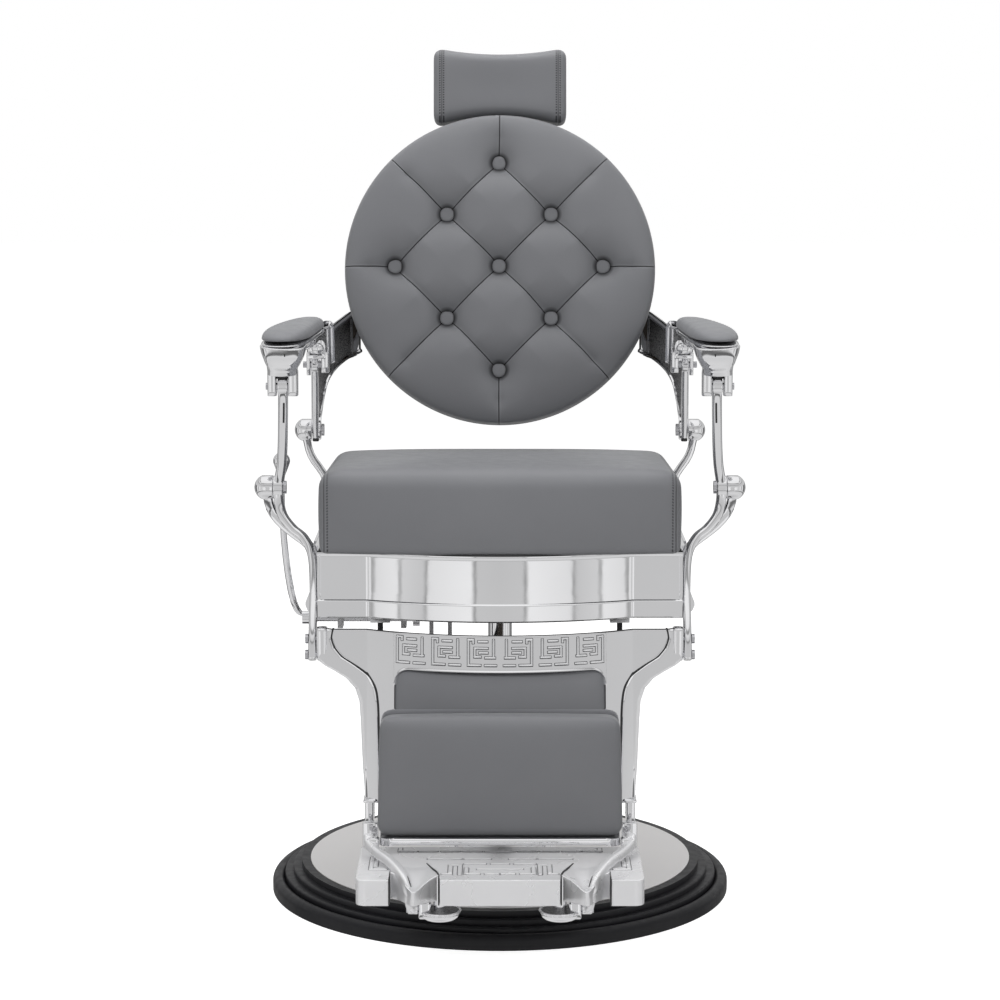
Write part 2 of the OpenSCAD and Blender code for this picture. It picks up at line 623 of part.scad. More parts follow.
// Hinge: an ear on the post between two ears on the board
module headrest_hinge() color("dimgray") on_back() difference() {
    union() {
        rod_x(-9.5, 9.5, 11, head_at.y, head_at.z);
        translate([-9.5, head_at.y - 6, head_at.z - 24]) cube([19, 12, 24]);
        rod_x(-24, 24, pivot_r - 1, head_at.y, head_at.z);
    }
    translate([-12, head_at.y - post_t/2, head_at.z - 30]) cube([24, post_t, 18]);
}
module headrest_board() color("burlywood") on_back() difference() {
    union() {
        translate([-head_w/2 + 12, head_at.y - 24, head_at.z - head_h/2 + 26]) cube([head_w - 24, 10, head_h - 52]);
        both_sides() {
            rod_x(10, 22, 11, head_at.y, head_at.z);
            translate([10, head_at.y - 15, head_at.z - 11]) cube([12, 15, 22]);
        }
    }
    rod_x(-24, 24, pivot_r - 1 + run, head_at.y, head_at.z);
}
// Neck roll: its underside arches over the round back, its top and its face are hollowed
module headrest_cushion() color("gray") on_back() {
    n = 24;
    translate([0, head_at.y - 24.3 - head_t/2, 0])
        loft([for (t = [-1, -0.97, -0.82, -0.57, -0.29, 0, 0.29, 0.57, 0.82, 0.97, 1])
            let (x = t*head_w/2, edge = abs(t) == 1 ? 3 : 0, thick = head_t/2 - edge, hollow = 9*(1 - t*t),
                 low = head_low(x) + edge,
                 high = head_z + head_h/2 - 10*(1 - t*t) - edge)
            [for (j = [0:n - 1]) let (c = bulge(cos(360*j/n), 0.5), s = bulge(sin(360*j/n), 0.5))
                [x, c*thick + (c < 0 ? hollow*abs(c)*(1 - s*s*0.6) : 0), (high + low)/2 + s*(high - low)/2]]]);
}

// ---------------------------------------------------------------- arm rests

arm_mid = (front_pin.y + rear_pin.y)/2 - 16;
arm_z = front_pin.z + 54;                    // underside of the body's rim
arm_slope = (front_pin.x - 3.5 - rear_pin.x)/(front_pin.y - rear_pin.y);
function arm_x(y) = rear_pin.x + arm_slope*(y - rear_pin.y);
// Tapered plan of the arm rest, grown by f
function arm_plan(f, z, n = 28) = [for (j = [0:n - 1])
    let (s = bulge(sin(360*j/n), 0.85), c = bulge(cos(360*j/n), 0.85), y = arm_mid + s*f*arm_l/2)
        [arm_x(y) + c*(f*arm_w/2 - (1 + s)*arm_w*0.1), y, z]];
// Ring about a point of the arm rest
function arm_ring(y, a, b, z, n = 20) = [for (j = [0:n - 1])
    [arm_x(y) + a*bulge(cos(360*j/n), 0.7), y + b*bulge(sin(360*j/n), 0.7), z]];

module clevis(at, width, slot, eye) {
    difference() {
        union() {
            rod_x(at.x - width/2, at.x + width/2, eye, at.y, at.z);
            translate([at.x - width/2, at.y - eye, at.z]) cube([width, 2*eye, arm_z - 30 - at.z]);
        }
        translate([at.x - slot/2, at.y - 30, at.z - 30]) cube([slot, 60, 30 + eye + 4]);
    }
}
module armrest_body() color("gainsboro") difference() {
    union() {
        loft([arm_plan(0.9, arm_z - 8), arm_plan(0.985, arm_z - 1), arm_plan(1, arm_z + 5), arm_plan(0.985, arm_z + 10)]);
        // hood over the front clevis
        translate([2, 0, 0]) loft([arm_ring(front_pin.y, 21.6, 15, front_pin.z + 20),
            arm_ring(front_pin.y, 22.5, 17, front_pin.z + 27), arm_ring(front_pin.y, 26, 22, front_pin.z + 35),
            arm_ring(front_pin.y, 31, 29, front_pin.z + 42), arm_ring(front_pin.y, 35, 36, front_pin.z + 51)]);
        // lobe over the rear clevis
        loft([arm_ring(rear_pin.y, 18, 14, rear_pin.z + 16), arm_ring(rear_pin.y - 4, 18, 18, rear_pin.z + 26),
            arm_ring(rear_pin.y - 12, 17.5, 24, rear_pin.z + 38), arm_ring(rear_pin.y - 22, 17, 34, rear_pin.z + 47)]);
        // keel between them
        bar([[arm_x(front_pin.y + 20), front_pin.y + 20, arm_z - 10, 12, 12], [arm_x(arm_mid), arm_mid, arm_z - 8, 10, 10],
            [arm_x(rear_pin.y - 24), rear_pin.y - 24, arm_z - 10, 11, 12]], side = [0, 0, 1]);
        clevis(front_pin, 43.4, 17, 14);
        clevis(rear_pin, 36, 17, 13);
    }
    rod_x(front_pin.x - 40, front_pin.x + 40, arm_pin_r + loop_play, front_pin.y, front_pin.z);
    rod_x(rear_pin.x - 40, rear_pin.x + 40, arm_pin_r + run, rear_pin.y, rear_pin.z);
}
module armrest_body_left() armrest_body();
module armrest_body_right() mirror([1, 0, 0]) armrest_body();

module armrest_pad() color("gray") loft([for (p = [[0.94, 10.3], [0.985, 13.5], [0.98, 10.3 + arm_pad_t*0.5],
    [0.92, 10.3 + arm_pad_t*0.78], [0.75, 10.3 + arm_pad_t*0.93], [0.45, 10.3 + arm_pad_t]]) arm_plan(p[0], arm_z + p[1])]);
module armrest_pad_left() armrest_pad();
module armrest_pad_right() mirror([1, 0, 0]) armrest_pad();

module front_clevis_pins() color("silver") both_sides()
    rod_x(front_pin.x - 22, front_pin.x + 22, arm_pin_r, front_pin.y, front_pin.z);
module rear_clevis_pins() color("silver") both_sides()
    rod_x(rear_pin.x - 18.3, rear_pin.x + 18.3, arm_pin_r, rear_pin.y, rear_pin.z);

// ---------------------------------------------------------------- levers and leg rest

leg_top = z_skirt - 13;                      // top edge of the leg rest
leg_y = y_skirt - 17;                        // front face of its flat sides, at the top edge
leg_t = 12;
leg_bow = 50;
leg_r = (bow_x*bow_x + leg_bow*leg_bow)/(2*leg_bow);
rail_end = foot_h + 63;                      // lower end of the side rails
bar_x = hx + 8.3;                            // centre of the lever's lower bar
bolt_at = [[leg_y + 1, leg_top - 14], [leg_y - 5, leg_top - 36]];
// Front face of the leg rest's flat sides at a height
function leg_face(z) = leg_y - (leg_top - z)*tan(leg_lean);

module front_lever() color("gainsboro") difference() {
    union() {
        rod_x(front_pin.x - 7, front_pin.x + 7, 12.5, front_pin.y, front_pin.z);
        rod_x(front_face - 14.6, front_face - 0.6, 17, front_pivot.y, front_pivot.z);
        bar([[front_pin.x, front_pin.y + 1, front_pin.z - 2, 7, 11],
             [front_pin.x + 1, front_pin.y + 6, front_pin.z - 22, 7, 11],
             [front_pin.x + 5, front_pin.y + 22, front_pin.z - 77, 7, 10],
             [front_face - 9.5, front_pivot.y - 9, front_pivot.z + 30, 7, 11],
             [front_face - 7.6, front_pivot.y, front_pivot.z, 7, 14],
             [front_face - 9, front_pivot.y - 5, front_pivot.z - 24, 7, 12],
             [front_face - 15, front_pivot.y - 12, front_pivot.z - 42, 6.7, 11],
             [front_face - 29, front_pivot.y - 19, front_pivot.z - 58, 6.4, 11],
             [bar_x + 12, front_pivot.y - 27, front_pivot.z - 74, 6, 11.5],
             [bar_x + 2, front_pivot.y - 38, front_pivot.z - 100, 5.8, 12],
             [bar_x, front_pivot.y - 58, front_pivot.z - 148, 5.7, 13],
             [bar_x, leg_y + 14, leg_top + 6, 5.7, 13.5],
             [bar_x, leg_y + 1, leg_top - 20, 5.7, 13],
             [bar_x, leg_y - 5, leg_top - 40, 5.7, 12]]);
    }
    rod_x(front_pin.x - 20, front_pin.x + 20, arm_pin_r, front_pin.y, front_pin.z);
    rod_x(front_face - 30, front_face + 10, pivot_r + run, front_pivot.y, front_pivot.z);
    for (b = bolt_at) rod_x(bar_x - 20, bar_x + 20, 4, b.x, b.y);
}
module front_lever_left() front_lever();
module front_lever_right() mirror([1, 0, 0]) front_lever();

module lever_bolts() color("#303236") both_sides() for (b = bolt_at) {
    rod_x(hx - 14, bar_x + 5.8, 4, b.x, b.y);
    rod_x(bar_x + 5.8, bar_x + 10, 7, b.x, b.y);
}

// Shell of the leg rest: flat sides, bowed middle, leaning forward towards the feet
module leg_shell(t, set_back) {
    translate([0, leg_y, leg_top]) rotate([-leg_lean, 0, 0]) translate([0, set_back, -330]) linear_extrude(360) {
        for (x = [-hx - 8, bow_x]) translate([x, 0]) square([hx + 8 - bow_x, t]);
        intersection() {
            difference() {
                translate([0, leg_r - leg_bow]) circle(leg_r, $fn = 360);
                translate([0, leg_r - leg_bow]) circle(leg_r - t, $fn = 360);
            }
            translate([-bow_x, -leg_bow - 10]) square([2*bow_x, leg_bow + 40]);
        }
    }
}
// Half outline of the frame seen from the front, from its ear to the rail's end
rail_x = foot_w/2 - 4;
rail_edge = spline([[hx + 1.5, leg_top - 44], [hx - 26, leg_top - 58], [hx - 48, leg_top - 72],
    [rail_x + 8, leg_top - 92], [rail_x + 6, leg_top - 120], [rail_x + 3, leg_top - 182],
    [rail_x, rail_end]], 4);
// Groove between the panel and the rail
groove = spline([[hx - 15, leg_top + 1], [hx - 23, leg_top - 14], [hx - 38, leg_top - 38],
    [hx - 63, leg_top - 56], [rail_x - 11, leg_top - 75], [rail_x - 18, leg_top - 96],
    [rail_x - 20, leg_top - 130]], 4);

module front_cut(depth) translate([0, depth, 0]) rotate([90, 0, 0]) linear_extrude(2*depth) children();

// One motif of the meander fret, 40 wide and 34 high, centred
module meander() {
    r = 1.9;
    slot2d(-18, -15, -18, 15, r);
    slot2d(-18, 15, 2, 15, r);
    slot2d(-10, -15, -10, 7, r);
    slot2d(-10, 7, 2, 7, r);
    slot2d(-2, -15, 10, -15, r);
    slot2d(-2, -15, -2, -1, r);
    slot2d(-2, -1, 10, -1, r);
    slot2d(10, -1, 10, 15, r);
    slot2d(18, -15, 18, 15, r);
    slot2d(6, -8, 12, -8, r);
}
fret_pitch = calf_w/6.2;
module fret_row(z) for (k = [0:5])
    translate([(k - 2.5)*fret_pitch, z]) mirror([k%2, 0]) scale(fret_h/50) meander();

module legrest_frame() color("gainsboro") {
    calf_top = leg_top - fret_h;
    inner = calf_w/2;
    difference() {
        intersection() {
            union() {
                leg_shell(leg_t - 4, 4);
                // rails stand proud of the panel
                intersection() {
                    leg_shell(leg_t, 0);
                    front_cut(600) both_sides2d() polygon(concat(groove, [[rail_x - 20, rail_end],
                        [rail_x + 40, rail_end - 10], [hx + 20, leg_top - 60], [hx + 20, leg_top + 1]]));
                }
                // band beside the opening
                intersection() {
                    leg_shell(leg_t - 1.5, 1.5);
                    front_cut(600) {
                        both_sides2d() translate([inner - 1, rail_end]) square([21, leg_top - rail_end]);
                        translate([-inner, calf_top]) square([calf_w, fret_h]);
                    }
                }
            }
            front_cut(600) difference() {
                both_sides2d() polygon(concat([[0, leg_top], [hx - 15, leg_top], [hx + 1.5, leg_top + 3]],
                    rail_edge, [[0, rail_end]]));
                translate([-inner, rail_end - 1]) square([calf_w, calf_top - rail_end - 16]);
                translate([-inner + 17, rail_end - 1]) square([calf_w - 34, calf_top - rail_end + 1]);
                for (x = [-1, 1]) translate([x*(inner - 17), calf_top - 17]) circle(17);
                fret_row(calf_top + fret_h/2);
            }
        }
        both_sides() for (b = bolt_at) rod_x(hx - 14, hx + 20, 4, b.x, b.y);
    }
    // ears that the levers bolt to
    both_sides() difference() {
        union() {
            translate([hx - 15, leg_y - 12, leg_top - 46]) cube([16.7, 26, 50]);
        }
        for (b = bolt_at) rod_x(hx - 14, hx + 20, 4, b.x, b.y);
    }
    // cross bars behind the opening, the lower one at the rails' ends
    for (z = [leg_top - 82, rail_end + 14]) on_leg(z) {
        translate([-rail_x, 9.5, 0]) cube([2*rail_x, 8, 16]);
        both_sides() translate([rail_x - 15, 3, 0]) cube([15, 8, 16]);
    }
    // lugs and pin of the lock rod
    for (x = [-14, 8]) translate([lock_far.x + x, leg_face(lock_far.z) + 13, lock_far.z - 10])
        cube([6, lock_far.y + 9 - leg_face(lock_far.z) - 13, 20]);
    rod_x(lock_far.x - 14, lock_far.x + 14, 5, lock_far.y, lock_far.z);
    // knuckles at the ends of the rails
    both_sides() translate([foot_w/2 - 18, leg_face(rail_end) - 20, rail_end - 29]) cube([13, 32, 31]);
}
module both_sides2d() {
    children();
    mirror([1, 0]) children();
}

calf_h = 150;
module on_leg(z) translate([0, leg_face(z), z]) rotate([-leg_lean, 0, 0]) children();
module calf_board() color("burlywood") on_leg(leg_top - fret_h)
    translate([-calf_w/2 + 6, -4, -calf_h + 4]) cube([calf_w - 12, 13.4, calf_h - 12]);
module calf_pad() color("gray") {
    n = 24;
    rear = -4.3;
    corner = 18;
    half = calf_w/2 - 0.5;
    mid_z = leg_top - fret_h - calf_h/2 - 0.4;
    bow_at = function (x) sqrt(pow(leg_r, 2) - x*x) - leg_r + leg_bow;
    rounding = function (x) let (over = max(0, abs(x) - half + corner))
        corner - sqrt(max(0, corner*corner - over*over));
    loft([for (t = [-1, -0.985, -0.95, -0.88, -0.7, -0.47, -0.23, 0, 0.23, 0.47, 0.7, 0.88, 0.95, 0.985, 1])
        let (x = t*half, high = calf_h/2 - rounding(x), share = abs(t) == 1 ? 0.8 : 1)
        [for (j = [0:n - 1]) let (c = bulge(cos(360*j/n), 0.3), z = mid_z + bulge(sin(360*j/n), 0.22)*high,
            // the lower part stays behind the tray of the shin pad
            depth = share*min(bow_at(x) - 3, leg_face(z) + rear - tray_y - 4))
            [x, leg_face(z) + rear - (1 - c)/2*depth, z]]]);
}

// Plan of the foot plate, drawn in by g: rounded front corners and two notches for the swing arms
foot_front = leg_face(rail_end) - 191;
foot_back = foot_front + 168;
notch_x = foot_w/2 - 80.5;
module foot_plan(g) difference() {
    union() {
        translate([-foot_w/2 + g, foot_front + 14]) square([foot_w - 2*g, foot_back - foot_front - 14 - g]);
        translate([-foot_w/2 + 14, foot_front + g]) square([foot_w - 28, 30]);
        for (x = [-1, 1]) translate([x*(foot_w/2 - 14), foot_front + 14]) circle(14 - g);
    }
    for (x = [-1, 1]) {
        translate([x*notch_x, foot_front + 42]) circle(36 + g);
        translate([x*notch_x - 36 - g, foot_front - 1]) square([72 + 2*g, 43]);
    }
}
module foot_plate() color("gainsboro") {
    depth = 36;
    difference() {
        translate([0, 0, foot_h - depth]) linear_extrude(depth) foot_plan(0);
        translate([0, 0, foot_h - depth - 1]) linear_extrude(depth + 1 - foot_wall) foot_plan(foot_wall);
        // meander slots of the tread
        translate([0, 0, foot_h - foot_wall - 1]) linear_extrude(foot_wall + 2) {
            for (k = [-2:2]) translate([k*44, foot_back - 40]) mirror([abs(k)%2, 0]) meander();
            for (k = [-1.5, -0.5, 0.5, 1.5]) slot2d(k*36 - 12, foot_back - 68, k*36 + 12, foot_back - 68, 2.2);
            for (k = [-1, 0, 1]) translate([k*42, foot_back - 96]) rotate(90) scale(0.9) meander();
            for (x = [-1, 1]) {
                slot2d(x*(foot_w/2 - 26), foot_back - 96, x*(foot_w/2 - 26), foot_back - 66, 2.2);
                slot2d(x*(foot_w/2 - 38), foot_back - 96, x*(foot_w/2 - 38), foot_back - 78, 2.2);
            }
        }
    }
    // cheeks up to the knuckles
    both_sides() {
        translate([foot_w/2 - 24, foot_back + 5, foot_h - 6]) cube([22, 13, rail_end - 29 - foot_h + 6]);
        translate([foot_w/2 - 24, foot_back - 4, foot_h - 6]) cube([22, 12, 6]);
    }
    // posts of the cups
    both_sides() translate([cup_at.x, cup_at.y, cup_at.z + 4]) cylinder(h = foot_h - cup_at.z - 6, r = 9);
}

swing_at = [notch_x + 2.5, foot_front + 23, foot_h - 45];        // axis of the swing arms
cup_at = [notch_x - 33.5, foot_front + 30, foot_h - 62];         // underside of the cups
module support_cups() color("gainsboro") both_sides() {
    translate(cup_at) difference() {
        cylinder(h = 13, r = 29, $fn = 72);
        translate([0, 0, 4]) cylinder(h = 20, r = 26.5, $fn = 72);
        translate([0, 0, 3.9]) cylinder(h = 20, r = 9.1);
    }
    translate(cup_at) cylinder(h = 4, r = 20);
    difference() {
        translate([swing_at.x - 24, swing_at.y - 8, cup_at.z + 2]) cube([17, 16, 24]);
        rod_x(swing_at.x - 30, swing_at.x + 10, 4, swing_at.y, swing_at.z);
    }
}

module swing_arm() color("gainsboro") difference() {
    union() {
        rod_x(swing_at.x - 6, swing_at.x + 6, 9, swing_at.y, swing_at.z);
        bar([[foot_w/2 - 12, tray_y - 8, foot_h + 24, 7.5, 7.5],
             [foot_w/2 - 12.5, tray_y - 18, foot_h + 20, 7.5, 7.5],
             [foot_w/2 - 19, tray_y - 44, foot_h + 15, 7, 7],
             [foot_w/2 - 31, tray_y - 72, foot_h + 12.5, 6.5, 6.5],
             [foot_w/2 - 46, tray_y - 98, foot_h + 10.5, 6.5, 6.5],
             [foot_w/2 - 63, tray_y - 126, foot_h + 4, 6.2, 6.2],
             [foot_w/2 - 74, swing_at.y - 6, foot_h - 10, 6, 6.5],
             [swing_at.x, swing_at.y - 6, foot_h - 28, 6, 6.5],
             [swing_at.x, swing_at.y - 1, swing_at.z, 6, 7]], side = [0, 0.3, 1]);
        // web to the tray's corner
        translate([foot_w/2 - 27.3, tray_y - 15, foot_h + 16]) cube([15, 14, 13]);
    }
    rod_x(swing_at.x - 20, swing_at.x + 20, 4 + run, swing_at.y, swing_at.z);
}
module swing_arm_left() swing_arm();
module swing_arm_right() mirror([1, 0, 0]) swing_arm();
module swing_pins() color("silver") both_sides() {
    rod_x(swing_at.x - 22, swing_at.x + 6.6, 4, swing_at.y, swing_at.z);
    rod_x(swing_at.x + 6.6, swing_at.x + 9.5, 7, swing_at.y, swing_at.z);
}

tray_y = leg_face(rail_end) - 22;            // rear face of the tray
shin_z = foot_h + 26;                        // lower edge of the shin pad
module tray_plan(g) {
    w = foot_w/2 - 27.3 + g;
    translate([-w, shin_z - 11]) square([2*w, shin_h]);
    translate([-w + 20, shin_z - 11]) square([2*w - 40, shin_h + 8]);
    for (x = [-1, 1]) translate([x*(w - 20), shin_z + shin_h - 23]) circle(20);
}
module pad_tray() color("gainsboro") {
    translate([0, tray_y, 0]) rotate([90, 0, 0]) linear_extrude(3) tray_plan(0);
    // lip under the pad, drawn forward with a rolled edge
    w = foot_w/2 - 27.3;
    translate([-w + 12, tray_y - shin_t + 6, shin_z - 11]) cube([2*w - 24, shin_t - 6, 10.7]);
    rod_x(-w + 12, w - 12, 5.35, tray_y - shin_t + 6, shin_z - 5.65);
    both_sides() {
        translate([w - 12, tray_y - shin_t + 12, shin_z - 11]) cylinder(h = 10.7, r = 12);
        translate([w - 12, tray_y - shin_t + 12, shin_z - 11]) cube([12, shin_t - 12, 10.7]);
    }
}
module shin_pad() color("gray") translate([0, tray_y - 3.3, shin_z + shin_h/2]) rotate([90, 0, 0])
    pad(foot_w/2 - 28, shin_h/2, 0.2, [[0.965, 0], [0.995, 8], [1, shin_t*0.5], [0.99, shin_t*0.7],
        [0.965, shin_t*0.82], [0.9, shin_t*0.9], [0.7, shin_t*0.97], [0.35, shin_t]], 0.008, 0.014, 44);

// ---------------------------------------------------------------- choice of node

base_plate();
base_ring();
base_disc();
column_collar();
pump_cylinder();
cylinder_cap();
pump_pedal();
pedal_pad();
pedal_pin();
ram();
swivel_socket();
seat_frame();
seat_skirt();
side_frame_left();
side_frame_right();
front_pivot_pins();
rear_pivot_pins();
stop_bolts();
seat_board();
seat_cushion();
hand_lever();
lever_knob();
lever_shaft();
lock_cylinder();
lock_rod();
lock_pins();
back_bracket_left();
back_bracket_right();
back_board();
back_cover();
back_cushion();
tuft_buttons();
headrest_socket();
headrest_knob();
headrest_post();
headrest_hinge();
headrest_board();
headrest_cushion();
armrest_body_left();
armrest_body_right();
armrest_pad_left();
armrest_pad_right();
front_clevis_pins();
rear_clevis_pins();
front_lever_left();
front_lever_right();
lever_bolts();
legrest_frame();
calf_board();
calf_pad();
foot_plate();
support_cups();
swing_arm_left();
swing_arm_right();
swing_pins();
pad_tray();
shin_pad();
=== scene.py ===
import json
import math

import bpy
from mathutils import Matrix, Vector


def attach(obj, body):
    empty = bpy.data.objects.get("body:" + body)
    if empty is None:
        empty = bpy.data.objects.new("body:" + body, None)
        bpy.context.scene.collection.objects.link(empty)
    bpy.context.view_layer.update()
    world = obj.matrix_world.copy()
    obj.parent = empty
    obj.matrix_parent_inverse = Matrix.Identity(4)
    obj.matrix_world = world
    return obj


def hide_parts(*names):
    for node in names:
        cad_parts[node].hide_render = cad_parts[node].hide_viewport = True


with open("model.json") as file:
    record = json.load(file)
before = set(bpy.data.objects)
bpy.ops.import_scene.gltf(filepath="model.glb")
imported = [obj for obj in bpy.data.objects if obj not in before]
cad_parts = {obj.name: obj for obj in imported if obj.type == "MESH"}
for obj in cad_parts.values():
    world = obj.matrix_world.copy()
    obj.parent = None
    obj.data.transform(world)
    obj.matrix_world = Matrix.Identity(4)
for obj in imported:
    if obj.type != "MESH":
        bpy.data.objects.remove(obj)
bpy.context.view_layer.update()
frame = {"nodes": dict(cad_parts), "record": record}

MM = 0.001
HALF_ROOT = 0.7071

# ------------------------------------------------------------------ sizes shared with the frame, in millimetres

BACK_CENTRE = (0.0, 232.0, 926.5)
BACK_LEAN = math.radians(10)
BACK_RADIUS = 244.5
BACK_RIM = 62
BACK_CROWN = 95.0
FACE_SHARE = 0.985
TUFT_PITCH = 81.0
TUFT_SHIFT = (-1.5, 3.5)
BUTTONS = ((0, 0), (0, 2), (0, -2), (2, 0), (-2, 0), (1, 1), (1, -1), (-1, 1), (-1, -1))
SEAT_HALF = (257.0, 202.5, 58.0)
SEAT_CENTRE = (0.0, -62.5, 618.0)
SEAT_FALL = 20.0
LEG_TOP = 449.0
LEG_FRONT = -264.0
LEG_LEAN = 0.27921
LEG_ANGLE = math.atan(LEG_LEAN)
LEG_RADIUS = 386.0
LEG_BOW = 50.0

# ------------------------------------------------------------------ helpers for selecting, editing and easing


def deselect():
    for chosen in bpy.context.selected_objects:
        chosen.select_set(False)


def activate(piece):
    deselect()
    piece.select_set(True)
    bpy.context.view_layer.objects.active = piece


def edited(piece, step):
    """Run a step of edit mode with all of the piece selected."""
    activate(piece)
    bpy.ops.object.mode_set(mode="EDIT")
    bpy.ops.mesh.select_all(action="SELECT")
    step()
    bpy.ops.object.mode_set(mode="OBJECT")


def step_up(value, start, end):
    """Smooth rise from 0 at the start to 1 at the end."""
    share = max(0.0, min(1.0, (value - start) / (end - start)))
    return share * share * (3 - 2 * share)


def fade(value, start, end):
    return 1 - step_up(value, start, end)


def raised(value, power):
    """A power of a share from -1 to 1 that keeps its sign."""
    return math.copysign(abs(value) ** power, value)


# ------------------------------------------------------------------ camera and lamps

CAMERA_DISTANCE = 4.1
CAMERA_HEIGHT = 1.1875
CAMERA_PITCH = math.radians(8.19)
CAMERA_LENS = 98.3


def add_camera():
    bpy.ops.object.camera_add(
        location=(0, -CAMERA_DISTANCE, CAMERA_HEIGHT),
        rotation=(math.pi / 2 - CAMERA_PITCH, 0, 0),
    )
    camera = bpy.context.object
    camera.name = "studio_camera"
    camera.data.lens = CAMERA_LENS
    camera.data.sensor_width = 36
    camera.data.clip_end = 60
    bpy.context.scene.camera = camera


def add_softbox(name, place, target, width, height, power):
    """A rectangular lamp that faces its target."""
    bpy.ops.object.light_add(type="AREA", location=place)
    lamp = bpy.context.object
    lamp.name = name
    lamp.data.shape = "RECTANGLE"
    lamp.data.size = width
    lamp.data.size_y = height
    lamp.data.energy = power
    lamp.visible_glossy = False
    lamp.rotation_euler = (Vector(target) - Vector(place)).to_track_quat("-Z", "Y").to_euler()


# ------------------------------------------------------------------ node helpers for materials and the world


class Signal:
    """A number that a shader works out at each point; plain signs make its math nodes."""

    def __init__(self, look, socket):
        self.look = look
        self.socket = socket

    def __add__(self, other):
        return self.look.math("ADD", self, other)

    def __sub__(self, other):
        return self.look.math("SUBTRACT", self, other)

    def __rsub__(self, other):
        return self.look.math("SUBTRACT", other, self)

    def __mul__(self, other):
        return self.look.math("MULTIPLY", self, other)

    def __truediv__(self, other):
        return self.look.math("DIVIDE", self, other)

    def __abs__(self):
        return self.look.math("ABSOLUTE", self)

    def least(self, other):
        return self.look.math("MINIMUM", self, other)

    def most(self, other):
        return self.look.math("MAXIMUM", self, other)


class Shader:
    """The node tree of a material or a world, with short calls for the nodes that the finishes share."""

    def __init__(self, name, kind="materials"):
        self.owner = getattr(bpy.data, kind).new(name)
        self.owner.use_nodes = True
        self.tree = self.owner.node_tree
        self.nodes = self.tree.nodes
        self.surface = self.nodes.get("Principled BSDF")
        self.place = None

    def set(self, **inputs):
        for key, value in inputs.items():
            self.surface.inputs[key.replace("_", " ")].default_value = value

    def link(self, source, target):
        self.tree.links.new(getattr(source, "socket", source), target)

    def coordinates(self):
        if self.place is None:
            self.place = self.nodes.new("ShaderNodeTexCoord").outputs["Object"]
        return self.place

    def axes(self, source=None):
        split = self.nodes.new("ShaderNodeSeparateXYZ")
        self.link(source or self.coordinates(), split.inputs[0])
        return [Signal(self, output) for output in split.outputs]

    def math(self, operation, first, second=0.0):
        node = self.nodes.new("ShaderNodeMath")
        node.operation = operation
        for socket, value in zip(node.inputs, (first, second)):
            if isinstance(value, (int, float)):
                socket.default_value = value
            else:
                self.link(value, socket)
        return Signal(self, node.outputs["Value"])

    def length(self, first, second):
        return self.math("SQRT", self.math("POWER", first, 2.0) + self.math("POWER", second, 2.0))

    def ramp(self, value, stops):
        """Brightness along a value, from stops of (value, level)."""
        node = self.nodes.new("ShaderNodeValToRGB")
        elements = node.color_ramp.elements
        for number, (position, level) in enumerate(stops):
            stop = elements[number] if number < 2 else elements.new(position)
            stop.position = position
            stop.color = (level, level, level, 1)
        self.link(value, node.inputs["Fac"])
        return Signal(self, node.outputs["Color"])

    def remap(self, value, low, high, to_low, to_high):
        node = self.nodes.new("ShaderNodeMapRange")
        for key, number in zip(("From Min", "From Max", "To Min", "To Max"), (low, high, to_low, to_high)):
            node.inputs[key].default_value = number
        self.link(value, node.inputs["Value"])
        return Signal(self, node.outputs["Result"])

    def stretched(self, scale):
        mapping = self.nodes.new("ShaderNodeMapping")
        mapping.inputs["Scale"].default_value = scale
        self.link(self.coordinates(), mapping.inputs["Vector"])
        return mapping.outputs["Vector"]

    def noise(self, scale, detail, vector=None):
        node = self.nodes.new("ShaderNodeTexNoise")
        node.inputs["Scale"].default_value = scale
        node.inputs["Detail"].default_value = detail
        self.link(vector or self.coordinates(), node.inputs["Vector"])
        return Signal(self, node.outputs["Fac"])

    def cells(self, scale):
        node = self.nodes.new("ShaderNodeTexVoronoi")
        node.inputs["Scale"].default_value = scale
        self.link(self.coordinates(), node.inputs["Vector"])
        return Signal(self, node.outputs["Distance"])

    def tint(self, factor, dark, light):
        node = self.nodes.new("ShaderNodeMix")
        node.data_type = "RGBA"
        node.inputs[6].default_value = (*dark, 1)
        node.inputs[7].default_value = (*light, 1)
        self.link(factor, node.inputs["Factor"])
        return node.outputs[2]

    def colour(self, factor, dark, light):
        self.link(self.tint(factor, dark, light), self.surface.inputs["Base Color"])

    def rough(self, factor, low, high, start=0.3, end=0.7):
        self.link(self.remap(factor, start, end, low, high), self.surface.inputs["Roughness"])

    def bump(self, height, strength, distance):
        node = self.nodes.new("ShaderNodeBump")
        node.inputs["Strength"].default_value = strength
        node.inputs["Distance"].default_value = distance
        self.link(height, node.inputs["Height"])
        self.link(node.outputs["Normal"], self.surface.inputs["Normal"])


# ------------------------------------------------------------------ finishes


def chrome_finish():
    """Polished plating: a casting's slow waves under it and a trace of wiping marks."""
    look = Shader("chrome")
    look.set(Metallic=1.0)
    look.colour(look.noise(9, 2), (0.84, 0.84, 0.855), (0.90, 0.90, 0.91))
    look.rough(look.noise(38, 4), 0.035, 0.085, end=0.75)
    look.bump(look.noise(26, 2), 0.05, 0.002)
    return look.owner


